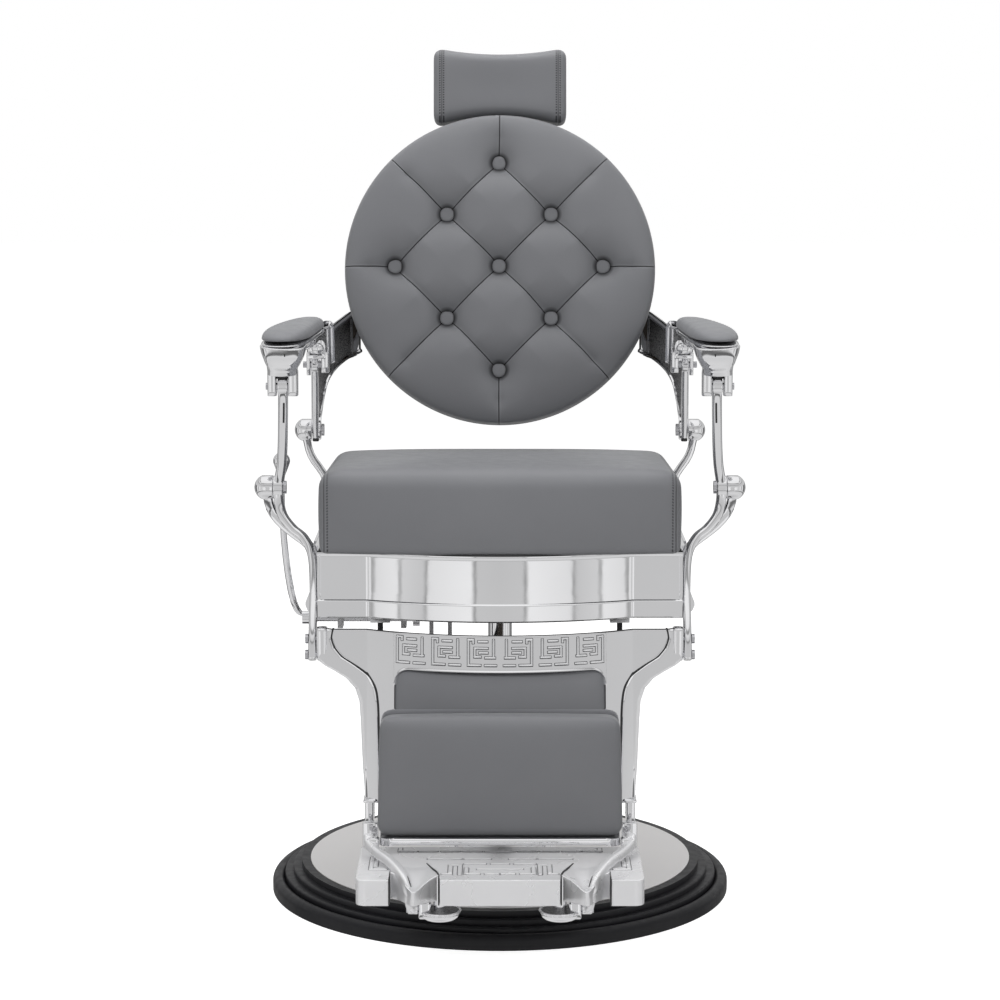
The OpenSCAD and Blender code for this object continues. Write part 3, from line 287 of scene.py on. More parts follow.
def vinyl_finish(name, marks=None):
    """Smooth satin upholstery vinyl: fine pressed grain, slow waves, and the piece's sewn marks with their painted
    shade and highlight.
    """
    look = Shader(name)
    look.set(Specular_IOR_Level=0.42, Sheen_Weight=0.10, Sheen_Roughness=0.5)
    tone = look.tint(look.noise(7, 3), (0.150, 0.153, 0.163), (0.172, 0.175, 0.185))
    height = look.noise(15, 2) * 0.0014 + look.cells(850) * 0.00005
    if marks:
        shade, depth = marks(look)
        # the marks' painted shade and painted highlight scale the vinyl's colour
        scaled = look.nodes.new("ShaderNodeVectorMath")
        scaled.operation = "SCALE"
        look.link(tone, scaled.inputs[0])
        look.link(shade, scaled.inputs["Scale"])
        tone = scaled.outputs[0]
        height = height - depth
    look.link(tone, look.surface.inputs["Base Color"])
    look.rough(look.noise(60, 3), 0.38, 0.48)
    look.bump(height, 1.0, 1.0)
    return look.owner


def pleat_marks(look):
    """Sewn pleats between the buttons, with painted shade in their creases and a painted highlight beside them, and
    the painted shade that gathers round each button.
    """
    side, deep, up = look.axes()
    wander = (look.noise(9, 1) - 0.5) * 0.006
    side = side - TUFT_SHIFT[0] * MM
    height = ((deep - BACK_CENTRE[1] * MM) * math.sin(BACK_LEAN)
              + (up - BACK_CENTRE[2] * MM) * math.cos(BACK_LEAN)) - TUFT_SHIFT[1] * MM
    a, b = abs(side + wander), abs(height + wander)
    reach = 2 * TUFT_PITCH * MM
    near = (abs(a - b) * HALF_ROOT).least(abs(a + b - reach) * HALF_ROOT)
    near = near.least(a.most(reach - b)).least(b.most(reach - a))
    # the buttons stand on a square net turned an eighth
    first, second = (side + height) / reach, (side - height) / reach
    button = look.length(first - look.math("ROUND", first), second - look.math("ROUND", second))
    # painted shade: the colour darkens to a ring round each button, where the cover dips under it
    ring = look.remap(button * (reach * HALF_ROOT), 0.0118, 0.0175, 0.16, 1.0)
    # no buttons stand beyond the outer points of the pattern
    ring = ring.most(look.math("GREATER_THAN", a + b, reach * 1.2))
    # painted shade along each pleat's crease, with a band of painted highlight just beside it
    line = look.ramp(near / 0.006, ((0.0, 0.16), (0.10, 0.22), (0.19, 1.22), (0.42, 1.06), (0.75, 1.0)))
    return ring * line, look.remap(near, 0.0, 0.0016, 0.0011, 0.0)


def stitched(rows, groove, spacing=0.0044):
    """Marks for a panel seam across X: a groove with painted shade in it and a painted highlight beside it, and rows
    of stitches beside it.
    """
    def marks(look):
        side, deep, up = look.axes()
        dash = look.remap(abs(look.math("FRACT", (deep + up) / spacing) - 0.5), 0.24, 0.32, 1.0, 0.0)
        off = abs(abs(side) - groove)
        # painted shade along the seam's groove, and a painted highlight just outside it
        shade = look.ramp(off / 0.004, ((0.0, 0.42), (0.14, 0.55), (0.3, 1.1), (0.7, 1.0)))
        for row in rows:
            dot = look.remap(abs(abs(side) - row), 0.0008, 0.0014, 1.0, 0.0) * dash
            shade = shade * (1.0 - dot * 0.82)
        return shade, look.remap(off, 0.0, 0.0018, 0.0010, 0.0)
    return marks


def rubber_finish():
    look = Shader("black_rubber")
    look.set(Specular_IOR_Level=0.30)
    look.colour(look.noise(24, 4), (0.006, 0.006, 0.008), (0.011, 0.011, 0.013))
    look.rough(look.noise(70, 4), 0.34, 0.48)
    look.bump(look.noise(420, 3), 0.08, 0.0006)
    return look.owner


def disc_finish():
    """Satin cover plate, turned: faint rings about the swivel axis."""
    look = Shader("brushed_disc")
    look.set(Metallic=0.75)
    ring = look.nodes.new("ShaderNodeCombineXYZ")
    look.link(look.length(*look.axes()[:2]), ring.inputs[0])
    lines = look.noise(900, 2, ring.outputs[0])
    look.colour(look.noise(5, 2), (0.86, 0.845, 0.84), (0.92, 0.905, 0.90))
    look.rough(lines, 0.30, 0.40)
    look.bump(lines, 0.05, 0.0004)
    return look.owner


def hammered_finish():
    """Dark paint that dried into small bright cells."""
    look = Shader("hammered_paint")
    look.set(Metallic=0.75)
    cell = look.cells(420)
    look.colour(look.remap(cell, 0.15, 0.6, 0.0, 1.0), (0.05, 0.05, 0.052), (0.26, 0.26, 0.265))
    look.rough(look.noise(300, 3), 0.28, 0.55)
    look.bump(cell, 0.55, 0.0012)
    return look.owner


def paint_finish(name, dark, light, shine=0.38):
    look = Shader(name)
    look.colour(look.noise(30, 4), dark, light)
    look.rough(look.noise(90, 3), shine - 0.06, shine + 0.08)
    look.bump(look.noise(260, 4), 0.10, 0.0006)
    return look.owner


def bright_finish():
    """Plated casting that is polished less than the trim: mostly a soft sheen."""
    look = Shader("bright_casting")
    look.set(Metallic=0.42)
    cloud = look.noise(12, 3)
    look.colour(cloud, (0.76, 0.76, 0.775), (0.84, 0.84, 0.85))
    look.rough(cloud, 0.22, 0.32, 0.0, 1.0)
    return look.owner


def steel_finish():
    look = Shader("turned_steel")
    look.set(Metallic=1.0)
    look.colour(look.noise(40, 3), (0.52, 0.52, 0.54), (0.64, 0.64, 0.66))
    marks = look.noise(700, 2, look.stretched((1.0, 0.08, 0.08)))
    look.rough(marks, 0.16, 0.30)
    look.bump(marks, 0.05, 0.0003)
    return look.owner


def plywood_finish():
    look = Shader("plywood")
    grain = look.noise(22, 5, look.stretched((1.0, 6.0, 9.0)))
    look.colour(grain, (0.045, 0.036, 0.028), (0.085, 0.068, 0.052))
    look.rough(grain, 0.55, 0.75)
    look.bump(grain, 0.15, 0.001)
    return look.owner


# ------------------------------------------------------------------ stage

FLOOR_GLOW = 0.84
WORLD_LIGHT = 0.27

# What polished metal sees around the studio, as (share of a half turn from the front, brightness)
STUDIO_WALLS = (
    (0.000, 0.59), (0.048, 0.61), (0.052, 0.16), (0.057, 0.92), (0.148, 0.82), (0.152, 0.30),
    (0.158, 0.62), (0.205, 0.70), (0.209, 0.25), (0.215, 0.88), (0.262, 0.80), (0.268, 0.34),
    (0.280, 0.60), (0.360, 0.78), (0.430, 0.86), (0.440, 0.22), (0.452, 0.10), (0.470, 0.72),
    (0.560, 0.80), (0.585, 0.16), (0.625, 0.08), (0.700, 0.26), (0.780, 0.42), (0.800, 0.24),
    (0.860, 0.36), (1.000, 0.40),
)
# The same over the height, as (share from straight down to straight up, brightness)
STUDIO_HEIGHTS = (
    (0.000, 0.55), (0.180, 0.74), (0.290, 0.68), (0.326, 0.74), (0.333, 0.16), (0.350, 0.12),
    (0.362, 0.78), (0.400, 0.70), (0.540, 0.68), (0.560, 0.61), (0.630, 0.57), (0.645, 0.24),
    (0.660, 0.62), (0.700, 0.80), (0.712, 0.30), (0.728, 0.34), (0.745, 0.90), (1.000, 1.00),
)
# The walls stand between the floor and the hanging panels
WALL_FOOT, WALL_TOP, WALL_EDGE = 0.375, 0.530, 0.012


def add_floor():
    """White floor that keeps the chair's shadow."""
    bpy.ops.mesh.primitive_plane_add(size=40, location=(0, 0, -0.0005))
    floor = bpy.context.object
    floor.name = "studio_floor"
    look = Shader("studio_floor")
    look.set(Base_Color=(0.62, 0.62, 0.62, 1), Roughness=0.9, Specular_IOR_Level=0.0)
    ray = look.nodes.new("ShaderNodeLightPath").outputs
    glow = look.nodes.new("ShaderNodeEmission")
    glow.inputs["Color"].default_value = (1, 1, 1, 1)
    look.link(look.math("MULTIPLY", ray["Is Camera Ray"], FLOOR_GLOW), glow.inputs["Strength"])
    together = look.nodes.new("ShaderNodeAddShader")
    look.link(look.surface.outputs[0], together.inputs[0])
    look.link(glow.outputs[0], together.inputs[1])
    look.link(together.outputs[0], look.nodes["Material Output"].inputs["Surface"])
    floor.data.materials.append(look.owner)
    floor.visible_glossy = False


def add_room():
    """Even light all round, a white background, and studio walls that only polished metal sees."""
    room = Shader("studio_world", "worlds")
    bpy.context.scene.world = room.owner
    background = room.nodes["Background"]
    background.inputs["Color"].default_value = (1, 1, 1, 1)
    ray = room.nodes.new("ShaderNodeLightPath").outputs
    side, ahead, up = room.axes(room.nodes.new("ShaderNodeTexCoord").outputs["Generated"])
    turn = room.math("ARCTAN2", abs(side), ahead * -1.0) / math.pi
    height = room.math("ARCSINE", up) / math.pi + 0.5
    level = (room.remap(height, WALL_FOOT - WALL_EDGE, WALL_FOOT, 0.0, 1.0)
             * room.remap(height, WALL_TOP + WALL_EDGE, WALL_TOP, 0.0, 1.0))
    seen = room.ramp(turn, STUDIO_WALLS) * level + room.ramp(height, STUDIO_HEIGHTS) * (1.0 - level)
    plain = room.remap(ray["Is Camera Ray"], 0.0, 1.0, WORLD_LIGHT, 1.0)
    glossy = Signal(room, ray["Is Glossy Ray"])
    room.link(plain * (1.0 - glossy) + seen * glossy, background.inputs["Strength"])


# ------------------------------------------------------------------ finishes of the carried-over pieces

CHROME = chrome_finish()
VINYL = vinyl_finish("grey_vinyl")
SEAT_VINYL = vinyl_finish("grey_vinyl_seat", stitched((0.2455,), 0.2505))
BACK_VINYL = vinyl_finish("grey_vinyl_tufted", pleat_marks)
HEAD_VINYL = vinyl_finish("grey_vinyl_headrest", stitched((0.0885, 0.0945), 0.0915))
HAMMERED = hammered_finish()
# black paint of the dark parts, also laid as painted shade in slits, slots, gaps and along shaded edges
BLACK = paint_finish("black_paint_and_shade", (0.010, 0.010, 0.011), (0.018, 0.018, 0.019))
STEEL = steel_finish()
# dark strips of painted shade that outline the raised strokes of the ornaments
RECESS_SHADE = paint_finish("recess_shadow", (0.055, 0.055, 0.058), (0.085, 0.085, 0.09), 0.5)
CAST_BRIGHT = bright_finish()
PRIMER = paint_finish("pale_primer", (0.52, 0.52, 0.53), (0.62, 0.62, 0.63), 0.45)

FINISHES = {
    "chrome": CHROME,
    "grey_vinyl": VINYL,
    "black_rubber": rubber_finish(),
    "brushed_disc": disc_finish(),
    "cast_base": paint_finish("cast_base", (0.05, 0.05, 0.053), (0.08, 0.08, 0.084), 0.5),
    "dark_paint": BLACK,
    "hammered_paint": HAMMERED,
    "steel": STEEL,
    "plywood": plywood_finish(),
    "black_plastic": BLACK,
}


def paint(piece, material):
    piece.data.materials.clear()
    piece.data.materials.append(material)


def smooth(piece, angle=None):
    """Smooth shading, with the edges past an angle in degrees kept sharp."""
    for face in piece.data.polygons:
        face.use_smooth = True
    if angle:
        activate(piece)
        bpy.ops.object.shade_smooth_by_angle(angle=math.radians(angle))


def finish_nodes():
    """Give every carried-over node its finish and smooth shading over its welded triangles."""
    slots = {part["node"]: part["material_slot"] for part in frame["record"]["subparts"]}
    for name, node in frame["nodes"].items():
        paint(node, PRIMER if name == "seat_frame" else FINISHES[slots[name]])
        node.modifiers.new("weld", "WELD").merge_threshold = 0.00001
        node.modifiers.new("edges", "EDGE_SPLIT").split_angle = math.radians(32)
        smooth(node)


# ------------------------------------------------------------------ modelling helpers


def flat_net(columns, rows):
    deselect()
    bpy.ops.mesh.primitive_grid_add(x_subdivisions=columns, y_subdivisions=rows, size=2)
    return bpy.context.object


def ball(segments, rings):
    deselect()
    bpy.ops.mesh.primitive_uv_sphere_add(segments=segments, ring_count=rings, radius=1)
    return bpy.context.object


def cushion_block(name, cuts):
    """A cube cut into an even net, ready to be shaped."""
    deselect()
    bpy.ops.mesh.primitive_cube_add(size=2)
    block = bpy.context.object
    block.name = name
    edited(block, lambda: bpy.ops.mesh.subdivide(number_cuts=cuts))
    return block


def shape(piece, rule):
    """Move every point of the piece by a rule."""
    for corner in piece.data.vertices:
        corner.co = rule(corner.co.copy())


def applied(piece, kind, **settings):
    """Add a modifier to the piece and apply it."""
    activate(piece)
    change = piece.modifiers.new(kind, kind)
    for key, value in settings.items():
        setattr(change, key, value)
    bpy.ops.object.modifier_apply(modifier=kind)


def outward(piece):
    edited(piece, lambda: bpy.ops.mesh.normals_make_consistent(inside=False))


def copied(piece):
    """A copy of the piece with a mesh of its own."""
    twin = piece.copy()
    twin.data = piece.data.copy()
    bpy.context.collection.objects.link(twin)
    return twin


def mirrored(piece, name):
    """The piece of the other side."""
    twin = copied(piece)
    twin.name = name
    shape(twin, lambda point: Vector((-point.x, point.y, point.z)))
    edited(twin, lambda: bpy.ops.mesh.flip_normals())
    return twin


def joined(pieces, name):
    deselect()
    for piece in pieces:
        piece.select_set(True)
    bpy.context.view_layer.objects.active = pieces[0]
    bpy.ops.object.join()
    whole = bpy.context.object
    whole.name = name
    return whole


def stand_for(piece, node, body):
    """Say which node a piece replaces, by hiding the node, and what it moves with."""
    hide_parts(node)
    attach(piece, body)
    deselect()


def stand_for_pair(parts, casting_name, node, bodies):
    """Join the parts of the left side, mirror them, and let both stand for their nodes."""
    left = joined(parts, casting_name + "_left")
    right = mirrored(left, casting_name + "_right")
    for piece, side, body in zip((left, right), ("_left", "_right"), bodies):
        stand_for(piece, node + side, body)


def upholster(piece, node, body, material=None):
    """Finish a padded piece: material, smooth faces, and what it stands for."""
    paint(piece, material or VINYL)
    smooth(piece)
    stand_for(piece, node, body)


def eased(share, pull=1.7):
    """Crowd the stations of a net towards its edges, where the form turns."""
    return math.copysign(1 - (1 - abs(share)) ** pull, share)


def rounded(net, half, radius):
    """Place a point of the cube's net on a box with rounded edges, in millimetres, and give its
    shares of the box's half sizes."""
    point = [eased(net[k]) * half[k] for k in range(3)]
    core = [max(-(half[k] - radius), min(half[k] - radius, point[k])) for k in range(3)]
    away = Vector([point[k] - core[k] for k in range(3)])
    place = Vector(core) + (away.normalized() * radius if away.length > 0 else away)
    return place, *(place[k] / half[k] for k in range(3))


def on_back(across, up, out):
    """A point of the back's own plane: across, up, and out of its board towards the sitter."""
    cos, sin = math.cos(BACK_LEAN), math.sin(BACK_LEAN)
    return Vector((
        BACK_CENTRE[0] + across,
        BACK_CENTRE[1] - out * cos + up * sin,
        BACK_CENTRE[2] + out * sin + up * cos,
    )) * MM


def leg_face(height):
    """Depth of the leg rest's leaning face at a height."""
    return LEG_FRONT - (LEG_TOP - height) * LEG_LEAN


def leg_bow(x):
    """How far the leg rest's face bows out of its leaning plane."""
    return max(0.0, math.sqrt(LEG_RADIUS ** 2 - x * x) - LEG_RADIUS + LEG_BOW)


def on_leg_face(x, height, out=0.0):
    """A point of the leg rest's bowed, leaning face, seen from the front at x and a height."""
    sin, cos = math.sin(LEG_ANGLE), math.cos(LEG_ANGLE)
    depth = -leg_bow(x) - out
    down = (height - LEG_TOP + depth * sin) / cos
    return Vector((x, LEG_FRONT + depth * cos + down * sin, height))


# ------------------------------------------------------------------ seat


def make_seat():
    seat = cushion_block("seat_cover", 29)

    def form(net):
        point, wide, deep, tall = rounded(net, SEAT_HALF, 9 + 15 * step_up(net.z, -0.85, 0.1))
        # crowned top that falls to the rear, sides a little full
        lift = 9 * (1 - wide ** 4) * (1 - deep ** 4) * max(0, tall)
        point.z += lift - SEAT_FALL * (deep + 1) / 2 * (tall + 1) / 2
        point.x += 3 * math.copysign(1 - tall * tall, wide) * abs(wide) ** 8
        full = 8 * (1 - tall * tall) * (1 - wide ** 6)
        if tall < -0.7:
            point.z -= 3
        # the foot of the front follows the skirt's bow
        bow = 20 * (1 - wide * wide) * max(0, (1 - tall) / 2) ** 1.5
        if deep < -0.6:
            point.y -= (full + bow) * (-deep - 0.6) / 0.4
        return (point + Vector(SEAT_CENTRE)) * MM

    shape(seat, form)
    applied(seat, "SUBSURF", levels=1, render_levels=1)
    upholster(seat, "seat_cushion", "seat", SEAT_VINYL)


# ------------------------------------------------------------------ back

# The boxing under the back's face, ring by ring: radius, drop
BOXING = ((241.5, 4), (242.8, 6), (243.0, 12), (242.4, 14), (240.0, 12), (236.0, 8), (228.0, 4))


def seam_distance(across, up):
    """How far a point of the back lies from the nearest sewn pleat."""
    a, b, reach = abs(across), abs(up), 2 * TUFT_PITCH
    return min(
        abs(a - b) / math.sqrt(2),
        abs(a + b - reach) / math.sqrt(2),
        math.hypot(a, max(0.0, reach - b)),
        math.hypot(b, max(0.0, reach - a)),
    )


def back_height(across, up):
    """Height of the tufted face over the board."""
    share = math.hypot(across, up) / BACK_RADIUS
    across, up = across - TUFT_SHIFT[0], up - TUFT_SHIFT[1]
    crown = BACK_RIM + (BACK_CROWN - BACK_RIM) * max(0.0, 1 - (share / FACE_SHARE) ** 2.6) ** 0.55
    near = seam_distance(across, up)
    # the pleats fade where the cover turns over the rim
    hold = 1 - max(0.0, min(1.0, (share - 0.84) / 0.13))
    pleat = 8.0 * math.exp(-near / 9.0) * (0.25 + 0.75 * hold)
    button = min(math.hypot(across - x * TUFT_PITCH, up - y * TUFT_PITCH) for x, y in BUTTONS)
    dimple = 12 * math.exp(-(button / 16) ** 2) + 14 * math.exp(-(button / 38) ** 2)
    return crown - pleat * hold - dimple


def make_back():
    back = flat_net(150, 150)
    back.name = "back_cover_tufted"

    def face(net):
        # the square net is turned an eighth and drawn out to the disc
        x, y = net.x * math.sqrt(1 - net.y * net.y / 2), net.y * math.sqrt(1 - net.x * net.x / 2)
        across = (x - y) / math.sqrt(2) * BACK_RADIUS * FACE_SHARE
        up = (x + y) / math.sqrt(2) * BACK_RADIUS * FACE_SHARE
        return Vector((across, up, back_height(across, up)))

    def draw_boxing():
        bpy.ops.mesh.region_to_loop()
        rim = BACK_RADIUS * FACE_SHARE
        for radius, drop in BOXING:
            bpy.ops.mesh.extrude_edges_move(TRANSFORM_OT_translate={"value": (0, 0, -drop)})
            bpy.ops.transform.resize(value=(radius / rim, radius / rim, 1), center_override=(0, 0, 0))
            rim = radius
        bpy.ops.mesh.edge_face_add()

    shape(back, face)
    edited(back, draw_boxing)
    shape(back, lambda point: on_back(*point))
    upholster(back, "back_cushion", "back", BACK_VINYL)


def make_buttons():
    """Covered buttons: one is modelled and copied to the nine places."""
    radius = 11.3
    pattern = ball(28, 16)

    def dome(net):
        flat = math.hypot(net.x, net.y) ** 0.8
        turn = math.atan2(net.y, net.x)
        return Vector((
            radius * flat * math.cos(turn), radius * flat * math.sin(turn),
            3.4 * (max(0.0, 1 - flat ** 4) ** 0.5) * (1 if net.z > 0 else -0.9),
        ))

    shape(pattern, dome)
    copies = []
    for x, y in BUTTONS:
        button = copied(pattern)
        across, up = x * TUFT_PITCH + TUFT_SHIFT[0], y * TUFT_PITCH + TUFT_SHIFT[1]
        place = Vector((across, up, back_height(across, up) + 7.4))
        shape(button, lambda point: on_back(*(point + place)))
        copies.append(button)
    bpy.data.objects.remove(pattern)
    buttons = joined(copies, "covered_buttons")
    paint(buttons, VINYL)
    smooth(buttons)
    stand_for(buttons, "tuft_buttons", "back")


# ------------------------------------------------------------------ head rest

HEAD_HALF = (104.5, 32.0, 62.0)
HEAD_LOW = 246.0
HEAD_UNDER = 349.0
HEAD_OUT = 17.3


def head_underside(across):
    return HEAD_LOW - HEAD_UNDER + math.sqrt(HEAD_UNDER ** 2 - across * across)


def make_headrest():
    head = cushion_block("headrest_cover", 23)

    def form(net):
        point, wide, deep, tall = rounded(net, HEAD_HALF, 17)
        low = head_underside(point.x)
        high = head_underside(HEAD_HALF[0]) + 2 * HEAD_HALF[2] - 10 * (1 - wide * wide)
        # the face is a roll from top to bottom, drawn in between its ends
        out = -point.y
        if deep < 0:
            out -= (9 * (1 - wide * wide) * (1 - 0.4 * tall * tall) + 7 * tall ** 4) * min(1.0, -deep * 1.4)
        return on_back(point.x, low + (tall + 1) / 2 * (high - low), HEAD_OUT + out)

    shape(head, form)
    applied(head, "SUBSURF", levels=1, render_levels=1)
    upholster(head, "headrest_cushion", "headrest", HEAD_VINYL)


# ------------------------------------------------------------------ leg rest pads

SHIN_HALF = (169.5, 26.0, 84.5)
SHIN_CENTRE = (0, -380.4, 263.5)
CALF_HALF = (149.5, 20.0, 75.0)
CALF_MIDDLE = 323.6
CALF_LIMIT = -347.06


def make_shin_pad():
    pad = cushion_block("shin_pad_cover", 23)

    def form(net):
        point, wide, deep, tall = rounded(net, SHIN_HALF, 17)
        point.x *= 1 + 0.013 * -tall
        crown = 13 * (1 - abs(wide) ** 3.2) * (1 - abs(tall) ** 2.6)
        front = min(1.0, max(0.0, -deep))
        point.y -= crown * front - 9 * front
        point.z += 2.2 * (1 - wide * wide) * max(0.0, tall)
        return (point + Vector(SHIN_CENTRE)) * MM

    shape(pad, form)
    applied(pad, "SUBSURF", levels=1, render_levels=1)
    upholster(pad, "shin_pad", "shin_unit")


def make_calf_pad():
    pad = cushion_block("calf_pad_cover", 23)

    def form(net):
        point, wide, deep, tall = rounded(net, CALF_HALF, 15)
        height = CALF_MIDDLE + point.z
        rear = leg_face(height) - 4.3
        # the face keeps clear of the shin pad's tray
        depth = min(leg_bow(point.x) - 3, rear - CALF_LIMIT) * (0.9 + 0.1 * (1 - abs(tall) ** 3))
        return Vector((point.x, rear - depth * (1 - deep) / 2, height)) * MM

    shape(pad, form)
    applied(pad, "SUBSURF", levels=1, render_levels=1)
    upholster(pad, "calf_pad", "legrest")


# ------------------------------------------------------------------ arm rests

ARM_MID = -80.0
ARM_LENGTH = 340.0
ARM_WIDTH = 90.0
ARM_RIM = 846.0
ARM_PAD_SHARE = 0.985
ARM_REAR = (284.0, 81.0)
ARM_SLOPE = (309.5 - 284.0) / (-209.0 - 81.0)


def arm_centre(depth):
    """Station across of the arm rest's middle line, which opens towards the front."""
    return ARM_REAR[0] + ARM_SLOPE * (depth - ARM_REAR[1])


def on_leaf(net, reach, fullness):
    """Across, depth and rise of a ball's point that is laid on the arm rest's leaf outline."""
    turn = math.atan2(net.y, net.x)
    level = math.asin(max(-1.0, min(1.0, net.z)))
    share = reach * math.cos(level) ** fullness
    s, c = raised(math.sin(turn), 0.85), raised(math.cos(turn), 0.85)
    depth = ARM_MID + s * share * ARM_LENGTH / 2
    if c < 0:
        c *= 1 - 0.2 * math.cos(s * math.pi / 2)
    across = arm_centre(depth) + c * share * ARM_WIDTH * (0.4 - 0.1 * s)
    return across, depth, math.sin(level)


def make_arm_pad(name, side, node, body):
    pad = cushion_block(name, 31)

    def form(net):
        net = net.normalized()
        fullness = 0.45 if net.z < 0 else 0.62 + 0.38 * net.z ** 6
        across, depth, rise = on_leaf(net, ARM_PAD_SHARE, fullness)
        height = ARM_RIM + 13.5 + (16.5 * rise ** 0.9 if rise > 0 else 3.2 * rise)
        return Vector((side * across, depth, height)) * MM

    shape(pad, form)
    if side < 0:
        outward(pad)
    upholster(pad, node, body)


# ------------------------------------------------------------------ castings


def course(rows, share):
    """Point of a smooth line through rows of numbers, as share runs from 0 to 1."""
    last = len(rows) - 1
    place = max(0.0, min(1.0, share)) * last
    first = min(int(place), last - 1)
    t = place - first
    picks = [rows[max(0, min(last, first + k))] for k in (-1, 0, 1, 2)]
    return [0.5 * (2 * b + (c - a) * t + (2 * a - 5 * b + 4 * c - d) * t * t + (3 * b - a - 3 * c + d) * t ** 3)
            for a, b, c, d in zip(*picks)]


def casting(rows, side=(0, 1, 0), square=0.6, segments=32, rings=56, turn_in=1.8, finish=None):
    """A closed bar along rows of (x, y, z, half width, half depth), its ends turned in."""
    piece = ball(segments, rings)
    span = sum(math.dist(a[:3], b[:3]) for a, b in zip(rows, rows[1:]))
    start = min(0.2, turn_in / span)
    caps = ((0.0, 0.0), (0.0, 0.86), (0.3 * start, 0.96), (start, 1.0))
    side = Vector(side)

    def form(net):
        ring = (math.asin(max(-1.0, min(1.0, net.z))) / math.pi + 0.5) * rings
        from_end = int(round(min(ring, rings - ring)))
        if from_end < 3:
            share, scale = caps[from_end]
        else:
            share, scale = start + (from_end - 3) / (rings / 2 - 3) * (0.5 - start), 1.0
        if ring > rings / 2:
            share = 1 - share
        row = course(rows, share)
        tangent = Vector(course(rows, share + 0.004)[:3]) - Vector(course(rows, share - 0.004)[:3])
        tangent.normalize()
        v = (side - tangent * side.dot(tangent)).normalized()
        u = v.cross(tangent)
        turn = math.atan2(net.y, net.x)
        c, s = raised(math.cos(turn), square), raised(math.sin(turn), square)
        return (Vector(row[:3]) + u * row[3] * scale * c + v * row[4] * scale * s) * MM

    shape(piece, form)
    paint(piece, finish or CHROME)
    smooth(piece)
    return piece


def rod(start, end, radius, finish=None, segments=32):
    """A turned pin between two points, its ends eased."""
    start, end = Vector(start), Vector(end)
    side = (0, 0, 1) if abs((end - start).normalized().z) < 0.9 else (0, 1, 0)
    rows = [(*start.lerp(end, share), radius, radius) for share in (0, 0.25, 0.5, 0.75, 1)]
    return casting(rows, side, 1.0, segments, 16, min(1.0, radius / 4), finish)


def shade_line(rows, side=(0, 1, 0), segments=12, rings=16):
    """A thin dark line laid along a casting: painted shade along a groove, a step or the side of a part."""
    return casting(rows, side, 1.0, segments, rings, finish=BLACK)


def block(corner, opposite, ease=2.0, finish=None):
    """A box between two opposite corners, its edges eased."""
    low, high = (Vector([*map(choose, corner, opposite)]) for choose in (min, max))
    deselect()
    bpy.ops.mesh.primitive_cube_add(size=1)
    piece = bpy.context.object
    shape(piece, lambda net: Vector([(low[k] + high[k]) / 2 + net[k] * (high[k] - low[k]) for k in range(3)]) * MM)
    if ease:
        applied(piece, "BEVEL", width=ease * MM, segments=3)
    paint(piece, finish or CHROME)
    smooth(piece)
    return piece


def sheet(columns, rows, place, thickness, finishes, pick):
    """A cast sheet whose face follows place(u, v) in millimetres; its back lies a thickness behind.
    pick(u, v) gives the number of the finish."""
    piece = flat_net(columns, rows)
    for finish in finishes:
        piece.data.materials.append(finish)
    for face in piece.data.polygons:
        face.material_index = int(pick((face.center.x + 1) / 2, (face.center.y + 1) / 2))
    shape(piece, lambda net: place((net.x + 1) / 2, (net.y + 1) / 2) * MM)
    applied(piece, "SOLIDIFY", thickness=thickness * MM, offset=-1)
    smooth(piece, 40)
    return piece


# ------------------------------------------------------------------ brackets, arm rest castings and levers

# Blade of the back's bracket from its leg inwards: x, y, lower edge, upper edge
BLADE = (
    (284.0, 114, 684, 800), (281.5, 126, 700, 818), (277.5, 140, 730, 830), (272.5, 152, 755, 839),
    (266.0, 166, 769.5, 847), (257.5, 184, 780, 853.5), (246.0, 204, 789, 861.5), (234.0, 222, 795, 869.5),
    (221.5, 238, 800, 877),
)
BRACKET_LEG = (
    (283.6, 78, 806, 4.6, 11), (284.0, 86, 786, 5, 11), (284.6, 96, 760, 5, 10.5), (285.4, 106, 732, 5, 10.5),
    (286.0, 115, 706, 5, 11.5), (286.2, 121, 690, 5, 13), (286.2, 124, 675, 5, 12.5),
)


def make_brackets():
    """Cast brackets of the back: a hammered blade with polished rims, and the leg it swings on."""
    def blade(u, v):
        s = 1 - u
        x, y, low, high = course(BLADE, s)
        ahead, behind = course(BLADE, s + 0.01), course(BLADE, s - 0.01)
        run = Vector((behind[0] - ahead[0], behind[1] - ahead[1], 0)).normalized()
        height = low + v * (high - low)
        from_top, from_foot = high - height, height - low
        out = 3.0 * step_up(from_foot, 0, 1.6) * fade(from_foot, 4.5, 7.5)
        out += 9.0 * fade(from_top, 6.0, 11.0) - 4.0 * fade(from_top, 0, 3.0)
        out += 2.2 * step_up(s, 0.845, 0.862) * fade(s, 0.945, 0.957) * fade(from_foot, 3, 0.5)
        return Vector((x, y, height)) + Vector((run.y, -run.x, 0)) * out

    def pick(u, v):
        s = 1 - u
        low, high = course(BLADE, s)[2:]
        from_top, from_foot = (1 - v) * (high - low), v * (high - low)
        # the black strip along the blade's foot and its turned inner end is painted shade
        if from_foot < 1.5 + 2.5 * step_up(s, 0.45, 0.95) or s > 0.962:
            return 2
        return from_top > 8 and from_foot > 6.5 and 0.14 < s < 0.852

    parts = [
        sheet(110, 96, blade, 9, (CHROME, HAMMERED, BLACK), pick),
        casting(BRACKET_LEG, square=0.45),
        rod((279.0, 81, 796), (289.0, 81, 796), 12.5),
        rod((278.5, 125, 690), (289.5, 125, 690), 15.5),
        rod((275.8, 125, 690), (279, 125, 690), 7.5, STEEL),
        block((281.5, 110, 673.5), (291, 126, 678.5), 1, BLACK),
    ]
    stand_for_pair(parts, "bracket_casting", "back_bracket", ("back", "back"))


